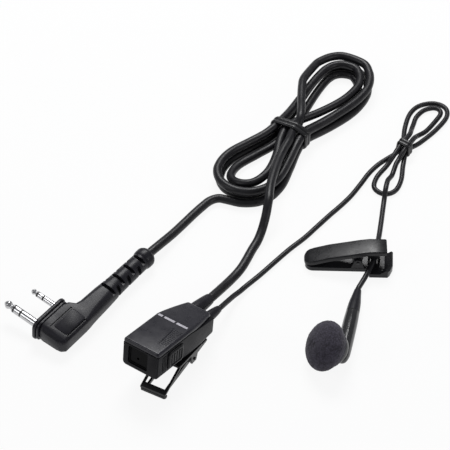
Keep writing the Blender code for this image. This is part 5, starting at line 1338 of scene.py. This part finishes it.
def make_cord_clip():
    half = CORD_CLIP_WIDTH / 2.0 + 0.3
    pin = make_axle("cord_clip_axle", "cord_clip_pin", CORD_CLIP_PIN, half, CORD_CLIP_AXIS @ ALONG_Y)
    spring = make_spring("cord_clip_coil", "cord_clip_spring", CORD_CLIP_AXIS @ QUARTER, CORD_CLIP_PIN,
                         CORD_SPRING_WIRE, CORD_SPRING_WIRE + 0.45, 3)
    return [make_cord_clip_base(), make_cord_clip_lever(), pin, spring]


# ---------------------------------------------------------------- earphone
def make_earphone_shell():
    outer = SHELL_DIAMETER / 2.0
    neck = SHELL_NECK / 2.0
    inside = outer - SHELL_WALL
    bottom = -SHELL_DEPTH + SHELL_WALL
    back = soft_profile([(0.0, -SHELL_BACK), (0.45 * neck, -SHELL_BACK + 0.2),
                         (0.85 * neck, -SHELL_BACK + 1.3), (neck, -SHELL_BACK + 3.2),
                         (neck, -SHELL_DEPTH - 0.5)])
    profile = back + [(outer, -SHELL_DEPTH), (outer, SHELL_LIP), (inside, SHELL_LIP), (inside, bottom),
                      (0.0, bottom)]
    shell = make("earphone_body", turned(profile), "ear", EARPHONE, 40.0)
    length = STEM_TOTAL * STEM_SHARE
    radius = STEM_DIAMETER / 2.0
    stem = soft_profile([(0.0, -STEM_OVER), (0.55 * radius, -STEM_OVER + 0.7),
                         (0.85 * radius, -STEM_OVER + 2.6), (radius, -STEM_OVER + 6.5),
                         (radius, 0.7 * length), (0.93 * radius, length)], 0.5)
    carve(shell, turned(stem, 40), STEM, "UNION")
    dress(soften(shell, 0.25, 3, 40.0), "case", "earphone_shell")


def make_earphone_boot():
    low = STEM_TOTAL * STEM_SHARE + 0.12
    reach = STEM_TOTAL - low
    radius = STEM_DIAMETER / 2.0
    profile = soft_profile([(0.92 * radius, low), (0.82 * radius, low + 0.4 * reach),
                            (0.62 * radius, low + 0.75 * reach), (EAR_BOOT_TIP / 2.0, STEM_TOTAL)])
    boot = make("earphone_cord_boot", turned(profile), "moulding", STEM, 40.0)
    dress(soften(boot, 0.15), "moulded", "earphone_boot")


def make_foam():
    """The foam cover, swollen a little and pitted all over."""
    radius = FOAM_DIAMETER / 2.0
    mouth = FOAM_MOUTH / 2.0
    inside = SHELL_DIAMETER / 2.0 + GAP
    front = SHELL_LIP + 1.6
    back = -SHELL_DEPTH - 2.0 * GAP
    profile = [(0.0, front), (inside, front), (inside, back), (mouth, back - 0.3), (mouth, -FOAM_BACK + 0.5),
               (mouth + 0.6, -FOAM_BACK)]
    for angle in np.radians(np.linspace(-42.0, 90.0, 40))[:-1]:
        height = FOAM_FRONT if angle > 0 else FOAM_BACK + 1.2
        profile.append((radius * math.cos(angle), height * math.sin(angle)))
    shape = turned(profile + [(0.0, FOAM_FRONT)], 110)
    grain = np.random.default_rng(7)
    shape.normal_update()
    for vertex in shape.verts:
        x, y, z = vertex.co / MM
        if not (back - 2.0 < z < front + 0.1 and math.hypot(x, y) < inside + 0.1):
            vertex.co += vertex.normal * float(grain.normal(0.0, 0.05)) * MM
    foam = make("foam_cover", shape, "foam", EARPHONE, 180.0)
    dress(foam, "foam", "foam_pad")


def make_earphone():
    make_earphone_shell()
    make_earphone_boot()
    make_foam()
    keep("earphone_driver", "can")
    keep("earphone_grille", "grille")


# ---------------------------------------------------------------- the scene
def main():
    make_camera()
    main_line = main_points()
    thin_line = thin_points()
    main_cord = make_cord("main_cord", main_line, MAIN_CORD, "main_hank", "main_cord_mic_side",
                          "main_cord_plug_side")
    thin_cord = make_cord("thin_cord", thin_line, THIN_CORD, "thin_hank", "thin_cord_mic_side",
                          "thin_cord_ear_side")
    main_tie = make_tie("large_rubber_tie", "main_hank_tie", MAIN_HANK, MAIN_TIE, main_line, MAIN_CORD)
    thin_tie = make_tie("small_rubber_tie", "thin_hank_tie", THIN_HANK, THIN_TIE, thin_line, THIN_CORD)
    make_microphone()
    plug = make_plug()
    cord_clip = make_cord_clip()
    make_earphone()
    make_stage()


main()
